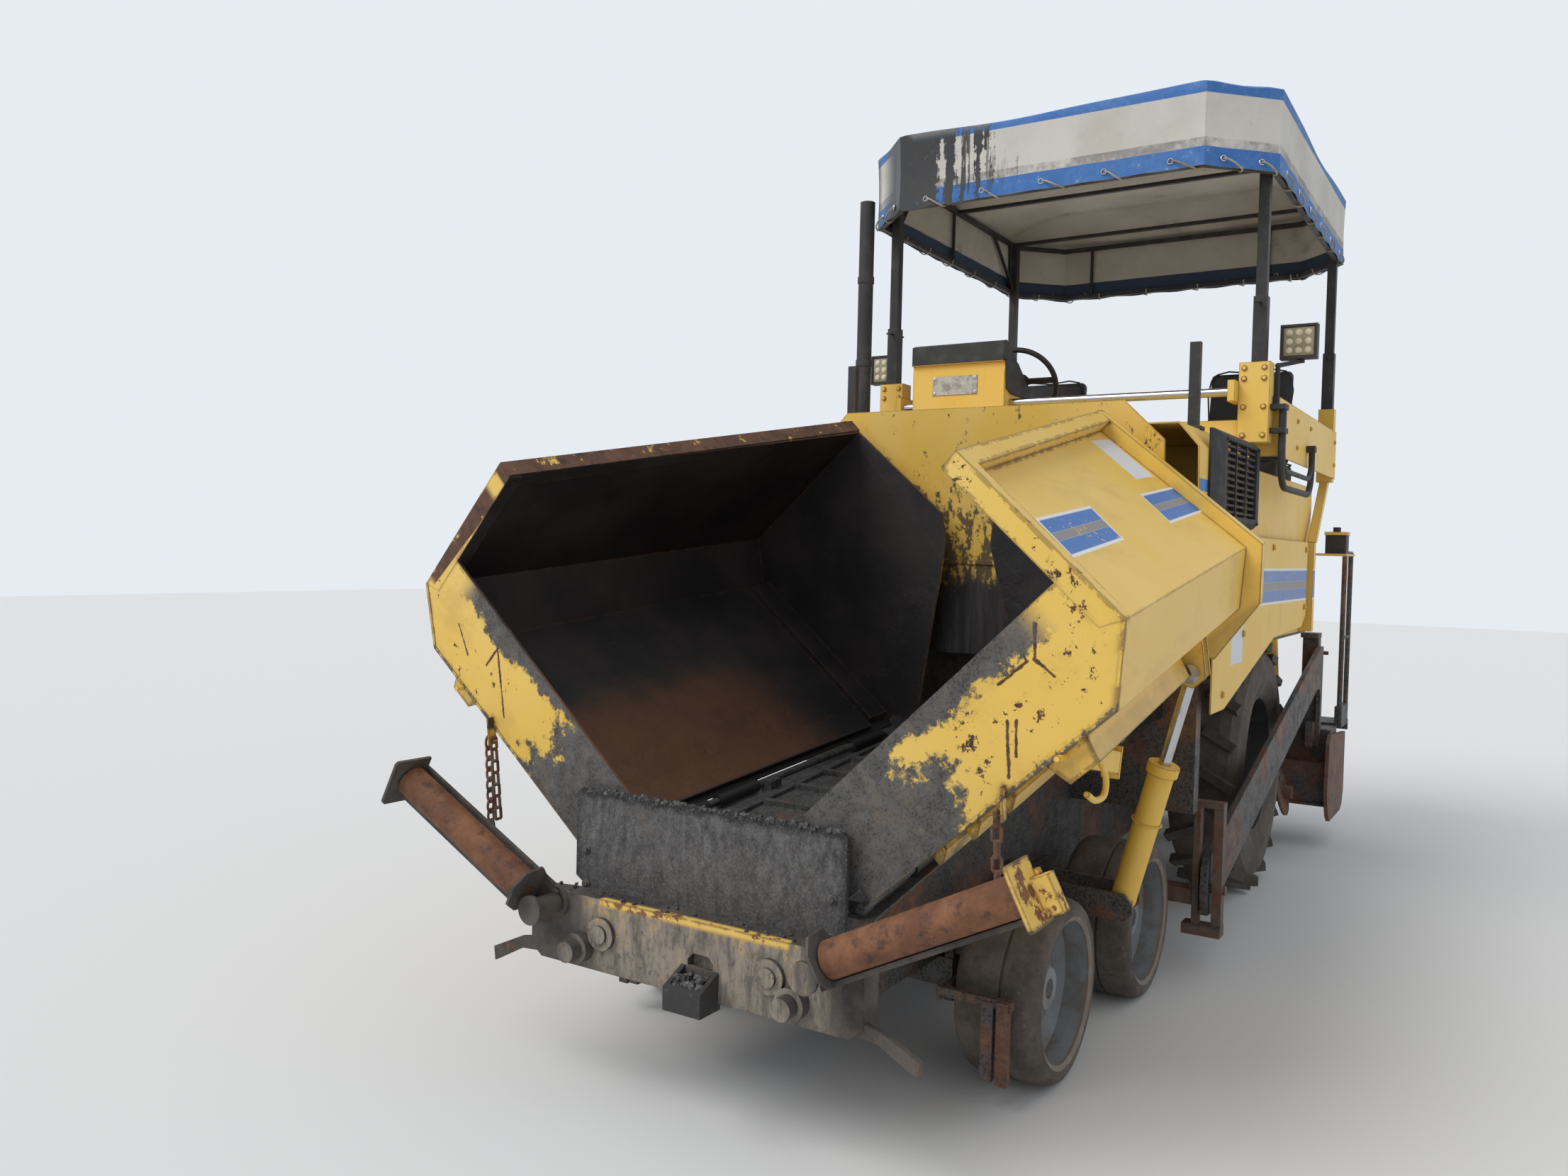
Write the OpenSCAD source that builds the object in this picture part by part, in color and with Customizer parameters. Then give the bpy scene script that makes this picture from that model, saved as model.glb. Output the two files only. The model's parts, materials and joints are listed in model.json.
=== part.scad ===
// Wheeled asphalt paver: receiving hopper in front, operator's platform behind, screed at the rear.
// Millimetres. +X points forwards, +Y to the machine's left, +Z up; lengths along X start at the
// rear axle and the whole machine is moved so that the origin is under the middle of its length.

/* [Wheels] */
// Radius of a rear drive tyre, out to the lugs
rear_tyre_r = 606; // [560:2:650]
// Width of a rear drive tyre
rear_tyre_w = 330; // [300:5:350]
// Outer face of the rear tyres, from the middle plane
rear_face_y = 800; // [780:2:812]
// Radius of a rear rim's flange
rear_rim_r = 342; // [300:2:380]
// Height of a drive lug
lug_h = 26; // [15:1:35]
// Lugs along each side of a drive tyre
lug_count = 20; // [16:1:26]
// Radius of a solid front tyre
front_tyre_r = 280; // [260:2:296]
// Width of a solid front tyre
front_tyre_w = 262; // [240:2:280]
// Outer face of the front tyres
front_face_y = 767; // [750:1:790]
// Radius of a front rim's lip
front_rim_r = 228; // [200:1:240]
// Distance from the rear axle to the nearer front axle
near_axle_x = 1798; // [1780:2:1820]
// Distance from the rear axle to the farther front axle
far_axle_x = 2673; // [2650:2:2700]

/* [Hopper] */
// Front end of the wing hinge lines
wing_x = 3455; // [3440:1:3465]
// Height of the hinge lines at their front end
hinge_z = 666; // [650:1:690]
// Distance of a hinge line from the middle plane
hinge_y = 468; // [460:1:480]
// Rise of the hinge lines towards the rear, degrees
hinge_rise = 6; // [4:0.5:7]
// Length of a wing along its hinge line
wing_len = 1800; // [1780:5:1810]
// Inward turn of the hinge lines towards the rear, degrees
hinge_turn = 3.4; // [3:0.1:3.6]
// Sideways reach of a wing's lower bend
bend_low_y = 665; // [650:1:680]
// Height of a wing's lower bend above the hinge
bend_low_z = 582; // [570:1:600]
// Sideways reach of a wing's upper bend
bend_top_y = 685; // [670:1:700]
// Height of a wing's upper bend above the hinge
bend_top_z = 796; // [780:1:820]
// Lean of the upper panel from the outward horizontal, degrees
panel_turn = 135.8; // [134:0.2:138]
// Length of the upper panel up its slope at the front
panel_front = 556; // [540:2:570]
// Length of the upper panel up its slope at the rear
panel_rear = 718; // [700:2:730]
// Thickness of the hopper plates
plate_t = 10; // [8:1:14]
// Depth of the flanges along the upper panel
rim_depth = 50; // [40:1:55]
// Width of those flanges
rim_w = 55; // [45:1:65]
// How far the rear rib stands out from the outer wall
rib_out = 55; // [40:1:60]
// Width of the rear rib
rib_w = 62; // [50:1:70]
// Height of the front wall of a wing, square to its bottom plate
front_wall_h = 300; // [260:5:320]

/* [Front end] */
// Front face of the apron plate
apron_x = 3512; // [3505:1:3520]
// Half the width of the apron plate
apron_y = 460; // [440:5:466]
// Top edge of the apron plate
apron_top = 882; // [860:2:900]
// Half the width of the push beam
beam_y = 560; // [540:5:580]
// Distance of the push arm pivots from the middle plane
arm_pivot_y = 455; // [440:5:470]
// Height of the push arm pivots
arm_pivot_z = 560; // [550:5:575]
// Distance of the push rollers' axes in front of the rear axle
roller_x = 3672; // [3665:1:3685]
// Radius of a push roller
roller_r = 48; // [44:1:58]
// Length of a push roller
roller_len = 550; // [500:5:580]
// How far the push arms are folded up, degrees
arm_fold = 27; // [20:1:32]

/* [Body] */
// Half the width across the side panels
side_y = 900; // [890:2:915]
// Thickness of sheet panels
sheet_t = 6; // [4:1:8]
// Top of the engine hood
hood_top = 2100; // [2060:5:2140]
// Floor of the operator's platform
deck_z = 1620; // [1580:5:1660]
// Front posts of the canopy, ahead of the rear axle
post_front_x = 770; // [740:5:800]
// Rear posts of the canopy, behind the rear axle
post_rear_x = 860; // [830:5:890]
// Half the width across the front posts
post_front_y = 873; // [865:1:880]
// Half the width across the rear posts
post_rear_y = 905; // [895:1:915]
// Side of a post's inner tube
post_w = 44; // [38:1:46]

/* [Canopy] */
// Lower edge of the canopy's valance
canopy_z = 3200; // [3150:10:3250]
// Height of the valance
valance_h = 360; // [320:5:400]
// Height of the roof's ridge over the valance
roof_rise = 90; // [60:5:130]
// Front edge of the canopy
canopy_front = 1110; // [1080:5:1120]
// Rear edge of the canopy, behind the rear axle
canopy_rear = 1190; // [1150:5:1230]
// Half the width of the canopy
canopy_y = 950; // [945:1:965]
// Cut across each corner of the canopy
canopy_cut = 250; // [200:5:300]

/* [Screed] */
// Height of the tow pins
tow_z = 330; // [310:5:360]
// Tow pins ahead of the rear axle
tow_x = 1400; // [1370:5:1410]
// Outer face of the tow arms
tow_face_y = 886; // [882:1:890]
// Half the width of the screed
screed_y = 960; // [930:5:990]
// Height of the screed's sole plate as it is carried
screed_z = 230; // [200:5:260]
// Rear edge of the walkway, behind the rear axle
walkway_rear = 1700; // [1680:5:1720]

/* [Hidden] */
$fn = 48;
gap = 0.3;
roller_cheek_r = 72;
front_reach = roller_x + roller_cheek_r;
mid_x = (front_reach - walkway_rear) / 2;
rail_y = 365;
rail_front = 3440;
rail_low = 325 + gap;
shelf_top = 1240;
axle_tube_r = 95;
// Height of the underside of the hopper floor at a station
function under_floor(x) = hinge_z + (wing_x - x) * tan(hinge_rise) - (30 + gap) / cos(hinge_rise);
rail_t = 20;
hinge_rod_r = 14;
hinge_tube_r = 22;
king_y = 455;
king_r = 22;
spindle_r = 30;
cyl_s = 1182;
cyl_eye_y = 612;
cyl_eye_z = 456;
cyl_base_y = 393;
cyl_base_z = -330;
cyl_barrel_r = 42;
cyl_rod_r = 19;
cyl_barrel_len = 494;
cyl_len = norm([cyl_eye_y - cyl_base_y, cyl_eye_z - cyl_base_z]);
cyl_lean = atan2(cyl_eye_z - cyl_base_z, cyl_eye_y - cyl_base_y);
lift_top = [-910, 1310];
lift_low = [-1110, 720];
lift_len = norm(lift_top - lift_low);
lift_turn = atan2(lift_low[0] - lift_top[0], lift_top[1] - lift_low[1]);
steel = [0.16, 0.15, 0.14];
rust = [0.36, 0.2, 0.12];
yellow = [0.9, 0.72, 0.27];
black = [0.07, 0.07, 0.07];
rubber = [0.12, 0.11, 0.1];
chrome = [0.8, 0.8, 0.82];

// Puts a piece, drawn ahead of the rear axle, into the machine's frame.
module placed() translate([-mid_x, 0, 0]) children();

// Draws the left piece, or its mirror image on the right.
module on_side(side) if (side > 0) children(); else mirror([0, 1, 0]) children();

// Lifts an outline drawn in Y and Z to a plate between two stations along X.
module along_x(from, to) translate([from, 0, 0]) rotate([90, 0, 90]) linear_extrude(to - from) children();

// Lifts an outline drawn in X and Z to a plate between two stations along Y.
module along_y(from, to) translate([0, to, 0]) rotate([90, 0, 0]) linear_extrude(to - from) children();

// A block between two corners.
module block(low, high) translate(low) cube(high - low);

// A round bar between two points.
module bar(from, to, r) {
    d = to - from;
    translate(from) rotate([0, acos(d[2] / norm(d)), atan2(d[1], d[0])]) cylinder(h = norm(d), r = r);
}

// A round bar along Y.
module pin_y(x, z, from, to, r) translate([x, from, z]) rotate([-90, 0, 0]) cylinder(h = to - from, r = r);

// The frame of the hopper: its X runs along the hinge lines, its origin is at their front end.
module in_hopper() translate([wing_x, 0, hinge_z]) rotate([0, hinge_rise, 0]) children();

// The frame of a folded wing: X along its hinge line, Y outwards, Z up square to the hopper floor.
module in_wing(side) in_hopper() on_side(side)
    translate([0, hinge_y, 0]) rotate([0, 0, hinge_turn]) children();

// Chassis
frame_front = 1560;
frame_rear = -760;
frame_y = 850;
foot_z = 560;
module chassis() color(steel) placed() {
    for (side = [1, -1]) on_side(side) {
        difference() {
            along_y(rail_y - rail_t, rail_y)
                polygon([
                    [rail_front, 470], [rail_front, under_floor(rail_front)],
                    [frame_front, under_floor(frame_front)], [frame_front, shelf_top],
                    [frame_rear, shelf_top], [frame_rear, foot_z], [-300, 380], [1250, rail_low],
                    [3300, rail_low]
                ]);
            pin_y(0, rear_tyre_r, rail_y - rail_t - 1, rail_y + 1, axle_tube_r + gap);
        }
        block([frame_rear, rail_y, shelf_top - 18], [frame_front, frame_y, shelf_top]);
        block([frame_front - 70, rail_y, 640], [frame_front, frame_y, shelf_top - 18]);
        block([frame_rear - 60, rail_y - 30, foot_z], [frame_rear + 20, 440, shelf_top]);
    }
    block([3360, -rail_y, 480], [3440, rail_y, 620]);
    block([frame_rear - 60, -rail_y, 1000], [frame_rear, rail_y, shelf_top]);
    block([1300, -rail_y, 320], [1360, rail_y, 420]);
    block([frame_rear + 20, -rail_y, 620], [frame_rear + 80, rail_y, 700]);
}

// Front apron
apron_low = 563;
apron_side = 620;
module front_apron() color(steel) placed()
    along_x(apron_x - 12, apron_x)
        polygon([
            [-apron_y, apron_top - 16], [16 - apron_y, apron_top],
            [apron_y - 16, apron_top], [apron_y, apron_top - 16],
            [apron_y, apron_side], [370, apron_low], [-370, apron_low], [-apron_y, apron_side]
        ]);

// Push beam: its face plate, the scoop of the hitch, the pin heads and the stops of the arms
beam_t = 78;
beam_x = apron_x + beam_t;
beam_low = 385;
beam_high = 592;
hitch_y = 60;
hitch_x = beam_x + 39;
hitch_front = beam_x + 82;
hitch_low = 368;
hitch_floor = 25;
arm_pin_r = 15;
module push_beam() color(steel) placed() {
    block([rail_front, -350, 470], [apron_x + gap, 350, apron_low - gap]);
    difference() {
        along_x(apron_x + gap, beam_x)
            polygon([
                [-beam_y, beam_low + 30], [40 - beam_y, beam_low],
                [beam_y - 40, beam_low], [beam_y, beam_low + 30],
                [beam_y, beam_high - 12], [400, beam_high],
                [-400, beam_high], [-beam_y, beam_high - 12]
            ]);
        along_x(beam_x - 28, beam_x + 2)
            polygon([
                [hitch_y - 42, 420], [hitch_y + 42, 420], [hitch_y + 42, 486],
                [hitch_y + 24, 504], [hitch_y - 24, 504], [hitch_y - 42, 486]
            ]);
    }
    difference() {
        along_y(hitch_y - 62, hitch_y + 62)
            polygon([
                [beam_x - 10, hitch_low], [hitch_front, hitch_low], [hitch_front, hitch_low + 64],
                [beam_x, 470], [beam_x - 10, 470]
            ]);
        along_y(hitch_y - 48, hitch_y + 48)
            polygon([
                [beam_x + 2, hitch_low + hitch_floor], [hitch_front - 14, hitch_low + hitch_floor],
                [hitch_front - 14, hitch_low + 90], [beam_x + 2, 520]
            ]);
        translate([hitch_x, hitch_y, hitch_low - 10]) cylinder(h = 60, r = 16);
    }
    for (side = [1, -1]) on_side(side) {
        for (x = [beam_x - weld, beam_x + 110])
            translate([x, arm_pivot_y, arm_pivot_z]) rotate([0, 90, 0]) cylinder(h = 12, r = 42);
        translate([beam_x - 5, arm_pivot_y, arm_pivot_z]) rotate([0, 90, 0])
            cylinder(h = 122, r = arm_pin_r);
        // stops of the arm, each a stub with a broader collar
        for (stop = [[285, 496, 47, 16, 26, 24], [362, 446, 44, 36, 30, 75]])
            translate([beam_x, stop[0], stop[1]]) rotate([0, 90, 0]) {
                translate([0, 0, -weld]) cylinder(h = stop[3], r = stop[2]);
                translate([0, 0, -weld]) cylinder(h = stop[5], r = stop[4]);
            }
        along_x(beam_x - 20, beam_x - weld)
            polygon([[500, 400], [600, 392], [712, 332], [718, 374], [610, 424], [500, 446]]);
    }
}

// The frame of a push arm: X forwards from its pivot, Y outwards along the folded arm.
module in_arm(side) on_side(side)
    translate([beam_x + 12, arm_pivot_y, arm_pivot_z]) rotate([arm_fold, 0, 0]) children();

roller_start = 70;
roller_up = 18;

// Push arm: a channel with an end plate at each end of its roller
roller_end = roller_start + roller_len;
module push_arm(side) color(rust) placed() in_arm(side) {
    difference() {
        union() {
            translate([6, 0, 0]) rotate([0, 90, 0]) cylinder(h = 84, r = 30);
            block([6, 0, -34], [18, roller_end + 50, 40]);
            block([10, 20, -46], [80, roller_end + 30, -32]);
            block([8, 20, 34], [20, roller_end + 30, 56]);
        }
        rotate([0, 90, 0]) cylinder(h = 100, r = arm_pin_r + gap);
    }
    difference() {
        along_y(roller_start - 16, roller_start - 6)
            polygon([[16, -44], [100, -44], [138, -16], [142, 50], [112, 88], [44, 92], [16, 60]]);
        roller_bore(roller_start - 20, roller_start);
    }
    difference() {
        along_y(roller_end + 6, roller_end + 16)
            polygon([[16, -62], [140, -62], [148, -54], [148, 82], [140, 90], [16, 90]]);
        roller_bore(roller_end, roller_end + 20);
    }
    block([16, roller_end + 12, -50], [54, roller_end + 60, 40]);
}
module roller_bore(from, to) pin_y(70, roller_up, from, to, 14 + gap);

// Push roller
module push_roller(side) color(rust) placed() in_arm(side) {
    pin_y(70, roller_up, roller_start, roller_start + roller_len, roller_r);
    pin_y(70, roller_up, roller_start - 16, roller_start + roller_len + 16, 14);
}

// Hopper floor with the conveyor deck, its slats and the hinge rods
rear_wall_s = 1874;
floor_under = 30;
slat_y = 310;
slat_pitch = 205;
hinge_back = hinge_y - rear_wall_s * tan(hinge_turn);
floor_rim = 34;
module hopper_floor() color(black) placed() {
    in_hopper() {
        translate([0, 0, -floor_under]) linear_extrude(6)
            polygon([
                [-14, -hinge_y - floor_rim], [-14, hinge_y + floor_rim],
                [gap - rear_wall_s, hinge_back + floor_rim], [gap - rear_wall_s, -hinge_back - floor_rim]
            ]);
        translate([0, 0, -floor_under + 4]) linear_extrude(6)
            polygon([
                [-20, -hinge_y + 40], [-20, hinge_y - 40],
                [-rear_wall_s + 6, hinge_back - 40], [-rear_wall_s + 6, -hinge_back + 40]
            ]);
        for (i = [0:8]) block([-120 - i * slat_pitch, -slat_y, -22], [-95 - i * slat_pitch, slat_y, 0]);
        for (y = [-slat_y - 12, -8, slat_y - 4]) block([-rear_wall_s + 24, y, -22], [-30, y + 16, -6]);
    }
    for (side = [1, -1]) in_wing(side) {
        translate([-wing_len, 0, 0]) rotate([0, 90, 0]) cylinder(h = wing_len - 4, r = hinge_rod_r);
        for (x = [-wing_len + 20, -wing_len / 2 - 30, -90])
            block([x, -46, -26], [x + 60, 0, 12]);
    }
}

// Fixed rear wall of the hopper
module hopper_rear_wall() color(yellow) placed() in_hopper() {
    along_x(-rear_wall_s - 12, -rear_wall_s)
        difference() {
            polygon([
                [-740, 140], [-430, -26], [430, -26], [740, 140],
                [740, 1180], [590, 1330], [-590, 1330], [-740, 1180]
            ]);
            polygon([[-300, 0], [300, 0], [300, 330], [-300, 330]]);
        }
    along_x(-rear_wall_s - 60, -rear_wall_s - 10)
        polygon([[-560, 1290], [560, 1290], [560, 1326], [-560, 1326]]);
    along_x(-rear_wall_s - 2, -rear_wall_s + 8)
        polygon([[-560, 700], [560, 700], [560, 716], [-560, 716]]);
}

// How far welded plates run into each other
weld = 2;
// Corners of a wing's outline, seen along the hinge line
low_bend = [bend_low_y, bend_low_z];
top_bend = [bend_top_y, bend_top_z];
low_dir = low_bend / norm(low_bend);
low_in = [-low_dir[1], low_dir[0]];
wall_dir = (top_bend - low_bend) / norm(top_bend - low_bend);
wall_in = [-wall_dir[1], wall_dir[0]];
slope_dir = [cos(panel_turn), sin(panel_turn)];
slope_in = [-slope_dir[1], slope_dir[0]];
// A point on the bottom plate's outline: so far from the hinge, so deep into the hopper
function on_plate(out, deep) = low_dir * out + low_in * deep;
// A point on the upper panel's outline: so far up from the bend, so deep into the hopper
function on_slope(up, deep) = top_bend + slope_dir * up + slope_in * deep;

// Where two lines cross: each goes through a point along a direction.
function cross_at(p, d, q, e) =
    let (k = ((q[0] - p[0]) * e[1] - (q[1] - p[1]) * e[0]) / (d[0] * e[1] - d[1] * e[0])) p + k * d;
// The bends moved in by a depth
function low_bend_in(deep) = cross_at(low_in * deep, low_dir, low_bend + wall_in * deep, wall_dir);
function top_bend_in(deep) =
    cross_at(low_bend + wall_in * deep, wall_dir, top_bend + slope_in * deep, slope_dir);
// The upper panel leans in from the bend, so that its flanges stand out at the top.
panel_lean = atan(rim_depth / ((panel_front + panel_rear) / 2));
plate_from = 18;
plate_size = norm(low_bend);

// Hopper wing
module wing(side) color(yellow) placed() in_wing(side) {
    // bottom plate bent up into the outer wall
    along_x(-wing_len, 0)
        polygon([
            on_plate(plate_from, 0), low_bend, top_bend,
            top_bend_in(plate_t), low_bend_in(plate_t), on_plate(plate_from, plate_t)
        ]);
    // upper panel, wider at the rear
    translate([0, bend_top_y, bend_top_z]) rotate([panel_turn + panel_lean, 0, 0]) linear_extrude(plate_t)
        polygon([[-1, 0], [-1, panel_front - 4], [1 - wing_len, panel_rear - 4], [1 - wing_len, 0]]);
    // front flange
    along_x(-rim_w, -weld / 2)
        polygon([
            on_slope(0, weld / 2), on_slope(panel_front - 6, weld / 2),
            on_slope(panel_front - 6, rim_depth + plate_t), on_slope(30, rim_depth + plate_t)
        ]);
    // top flange
    translate([0, bend_top_y, bend_top_z]) rotate([panel_turn, 0, 0])
        translate([0, 0, 1]) linear_extrude(rim_depth + plate_t - 4)
            polygon([
                [-weld, panel_front], [weld - wing_len, panel_rear],
                [weld - wing_len, panel_rear - rim_w], [-weld, panel_front - rim_w]
            ]);
    // rear rib, standing out from the wall and dying away under the bottom plate
    along_x(-wing_len + weld / 2, -wing_len + rib_w)
        polygon([
            on_plate(plate_size - 250, weld), on_plate(plate_size - 185, -88),
            low_bend + [rib_out + 14, 18], top_bend + [rib_out, 14],
            on_slope(panel_rear - weld, weld), on_slope(panel_rear - 40, rim_depth + plate_t + weld),
            on_slope(120, plate_t), top_bend_in(plate_t - weld), low_bend_in(plate_t - weld)
        ]);
    // front wall
    along_x(-plate_t - weld, -weld)
        polygon([
            on_plate(42, weld), low_bend_in(weld), top_bend_in(2 * weld), on_slope(170, 2 * weld),
            on_plate(-15, front_wall_h - 20), on_plate(-40, 40), on_plate(42, 44)
        ]);
    // rear wall
    along_x(-wing_len + weld, -wing_len + weld + plate_t)
        polygon([
            on_plate(42, weld), low_bend_in(weld), top_bend_in(2 * weld),
            on_slope(panel_rear - 12, 2 * weld), [118, 1236], [-250, 915], [-268, 790], [-120, 80],
            on_plate(42, 44)
        ]);
    // ledge along the rear wall
    along_x(-wing_len + plate_t, -wing_len + 132)
        polygon([on_plate(70, 5), on_plate(866, 5), on_plate(866, 35), on_plate(70, 35)]);
    // cover along the hinge
    along_x(-wing_len + 160, -60)
        polygon([on_plate(36, 5), on_plate(150, 5), on_plate(150, 20), on_plate(36, 34)]);
    // hinge tubes
    for (x = [-wing_len + 110, -wing_len / 2 + 60, -560])
        difference() {
            union() {
                translate([x, 0, 0]) rotate([0, 90, 0]) cylinder(h = 220, r = hinge_tube_r);
                along_x(x + 1, x + 219)
                    polygon([on_plate(14, -4), on_plate(70, -4), on_plate(70, 5), on_plate(14, 5)]);
            }
            translate([x - 5, 0, 0]) rotate([0, 90, 0]) cylinder(h = 230, r = hinge_rod_r + gap);
        }
    // stiffeners and the beam under the bottom plate, with the cylinder's lugs
    for (out = [250, 370, 490])
        along_x(-wing_len + 110, -40)
            polygon([
                on_plate(out, 3), on_plate(out + 46, 3), on_plate(out + 46, -12),
                on_plate(out + 12, -34), on_plate(out, -34)
            ]);
    along_x(-cyl_s + 70, -30)
        polygon([on_plate(650, 3), on_plate(780, 3), on_plate(760, -66), on_plate(670, -66)]);
    for (x = [-cyl_s - 42, -cyl_s + 30])
        difference() {
            along_x(x, x + 12) cylinder_lug();
            translate([x - 1, cyl_eye_y, cyl_eye_z]) rotate([0, 90, 0]) cylinder(h = 14, r = 24);
        }
    // stub of the hook rod on the outer wall's foot
    bar([-330, 560, 458], [-330, 600, 430], 7);
    // cheek and pin that carry the chain's top link
    block([-8, chain_at[1] + 12, chain_at[2] - 6], [chain_at[0] + 8, chain_at[1] + 18, chain_at[2] + 80]);
    pin_y(chain_at[0], chain_at[2] + 9.6, chain_at[1] - 14, chain_at[1] + 14, 3.2);
}

// Outline of a lug round the rod's eye
module cylinder_lug() {
    eye = [cyl_eye_y, cyl_eye_z];
    polygon([
        on_plate(660, 3), on_plate(860, 3),
        eye + low_dir * 46 - low_in * 14, eye + low_dir * 24 - low_in * 42,
        eye - low_dir * 24 - low_in * 42, eye - low_dir * 46 - low_in * 14
    ]);
}

// Chain that hangs from a wing's front corner to the push arm
chain_at = [14, 380, 300];
link_count = 7;
link_pitch = 38;
link_half = 17;
link_r = 5;
module chain_link() {
    for (side = [-1, 1]) {
        translate([side * 11, 0, -link_half]) cylinder(h = link_half * 2, r = link_r, $fn = 6);
        translate([-11, 0, side * (link_half + 1)]) rotate([0, 90, 0])
            cylinder(h = 22, r = link_r, $fn = 6);
    }
}
module wing_chain(side) color(rust) placed() in_wing(side) translate(chain_at)
    for (i = [0:link_count - 1])
        translate([0, 0, -i * link_pitch]) rotate([0, 0, i % 2 * 90]) chain_link();

// Hopper wing cylinder: barrel on the chassis bracket, rod under the wing
module in_cylinder(side) in_wing(side)
    translate([-cyl_s, cyl_base_y, cyl_base_z]) rotate([cyl_lean - 90, 0, 0]) children();

module wing_barrel(side) color(yellow) placed() in_cylinder(side)
    difference() {
        union() {
            cylinder(h = cyl_barrel_len - 34, r = cyl_barrel_r);
            translate([0, 0, cyl_barrel_len - 34]) cylinder(h = 34, r = cyl_barrel_r + 9);
            translate([-28, 0, 0]) rotate([0, 90, 0]) cylinder(h = 56, r = 40);
        }
        translate([-50, 0, 0]) rotate([0, 90, 0]) cylinder(h = 100, r = 16 + gap);
        translate([0, 0, 60]) cylinder(h = cyl_barrel_len, r = cyl_rod_r + gap);
    }

module wing_rod(side) color(chrome) placed() in_cylinder(side) {
    translate([0, 0, 330]) cylinder(h = cyl_len - 330, r = cyl_rod_r);
    translate([-24, 0, cyl_len]) rotate([0, 90, 0]) cylinder(h = 48, r = 30);
    translate([-46, 0, cyl_len]) rotate([0, 90, 0]) cylinder(h = 92, r = 11);
    for (x = [-54, 46]) translate([x, 0, cyl_len]) rotate([0, 90, 0]) cylinder(h = 8, r = 30);
}

// Front axles: two beams with forks for the king pins, and the brackets of the wing cylinders
module front_axles() color(steel) placed() {
    for (x = [near_axle_x, far_axle_x]) {
        block([x - 55, -410, 235], [x + 55, 410, 325]);
        for (side = [1, -1]) on_side(side)
            for (z = [[190, 222], [338, 370]])
                difference() {
                    union() {
                        translate([x, king_y, z[0]]) cylinder(h = z[1] - z[0], r = 36);
                        block([x - 36, 400, z[0]], [x + 36, king_y, z[1]]);
                    }
                    translate([x, king_y, z[0] - 1]) cylinder(h = z[1] - z[0] + 2, r = king_r + gap);
                }
        for (side = [1, -1]) on_side(side) block([x - 50, 380, 190], [x + 50, 410, 370]);
    }
    for (side = [1, -1]) on_side(side)
        block([near_axle_x, rail_y + gap, 300], [far_axle_x, rail_y + 12, 460]);
    for (side = [1, -1]) in_wing(side) translate([-cyl_s, cyl_base_y, cyl_base_z]) {
        for (x = [-64, 52])
            difference() {
                along_x(x, x + 12)
                    polygon([[-416, 60], [20, 40], [44, 10], [44, -24], [20, -48], [-416, -60]]);
                translate([x - 1, 0, 0]) rotate([0, 90, 0]) cylinder(h = 14, r = 16 + gap);
            }
        translate([-70, 0, 0]) rotate([0, 90, 0]) cylinder(h = 140, r = 16);
    }
}

// Steering knuckle: king pin and wheel spindle; the far ones carry the scraper bars of their tyres
bar_x = 312;
module knuckle(axle_x, side) color(steel) placed() on_side(side) translate([axle_x, king_y, front_tyre_r]) {
    translate([0, 0, -96]) cylinder(h = 192, r = king_r);
    translate([0, 0, -56]) cylinder(h = 112, r = 40);
    rotate([-90, 0, 0]) cylinder(h = 92, r = 46);
    rotate([-90, 0, 0]) cylinder(h = 250, r = spindle_r);
    if (axle_x == far_axle_x) {
        block([10, 28, 20], [bar_x + 20, 42, 52]);
        block([bar_x, 30, 34], [bar_x + 22, 262, 60]);
        block([bar_x + 2, 172, -178], [bar_x + 26, 208, 50]);
        block([bar_x + 2, 218, -184], [bar_x + 26, 254, 56]);
    }
}

// Solid front tyre
module front_tyre(axle_x, side) color(rubber) placed() on_side(side)
    translate([axle_x, front_face_y, front_tyre_r]) rotate([90, 0, 0]) rotate_extrude($fn = 64)
        polygon([
            [front_rim_r, 0], [front_tyre_r - 26, 4], [front_tyre_r - 6, 26], [front_tyre_r, 60],
            [front_tyre_r, front_tyre_w - 60], [front_tyre_r - 6, front_tyre_w - 26],
            [front_tyre_r - 26, front_tyre_w - 4], [front_rim_r, front_tyre_w]
        ]);

// Dished front rim
module front_rim(axle_x, side) color([0.42, 0.45, 0.48]) placed() on_side(side)
    translate([axle_x, front_face_y, front_tyre_r]) rotate([90, 0, 0]) {
        rotate_extrude($fn = 64)
            polygon([
                [front_rim_r, 0], [front_rim_r, front_tyre_w], [front_rim_r - 14, front_tyre_w],
                [front_rim_r - 14, 150], [120, 128], [120, 140], [spindle_r + gap, 140],
                [spindle_r + gap, 60], [62, 60], [70, 72], [70, 112], [front_rim_r - 44, 118],
                [front_rim_r - 16, 84], [front_rim_r - 16, 8]
            ]);
        for (i = [0:7]) rotate(i * 45) translate([98, 0, 100]) cylinder(h = 20, r = 11, $fn = 6);
    }

// Rear axle with its two hubs
module rear_axle() color(steel) placed() {
    pin_y(0, rear_tyre_r, -440, 440, axle_tube_r);
    block([-160, -rail_y + rail_t, rear_tyre_r - 140], [180, rail_y - rail_t, rear_tyre_r + 150]);
    for (side = [1, -1]) on_side(side) {
        pin_y(0, rear_tyre_r, 440, 520, 150);
        pin_y(0, rear_tyre_r, 520, 600, 70);
    }
}

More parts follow.
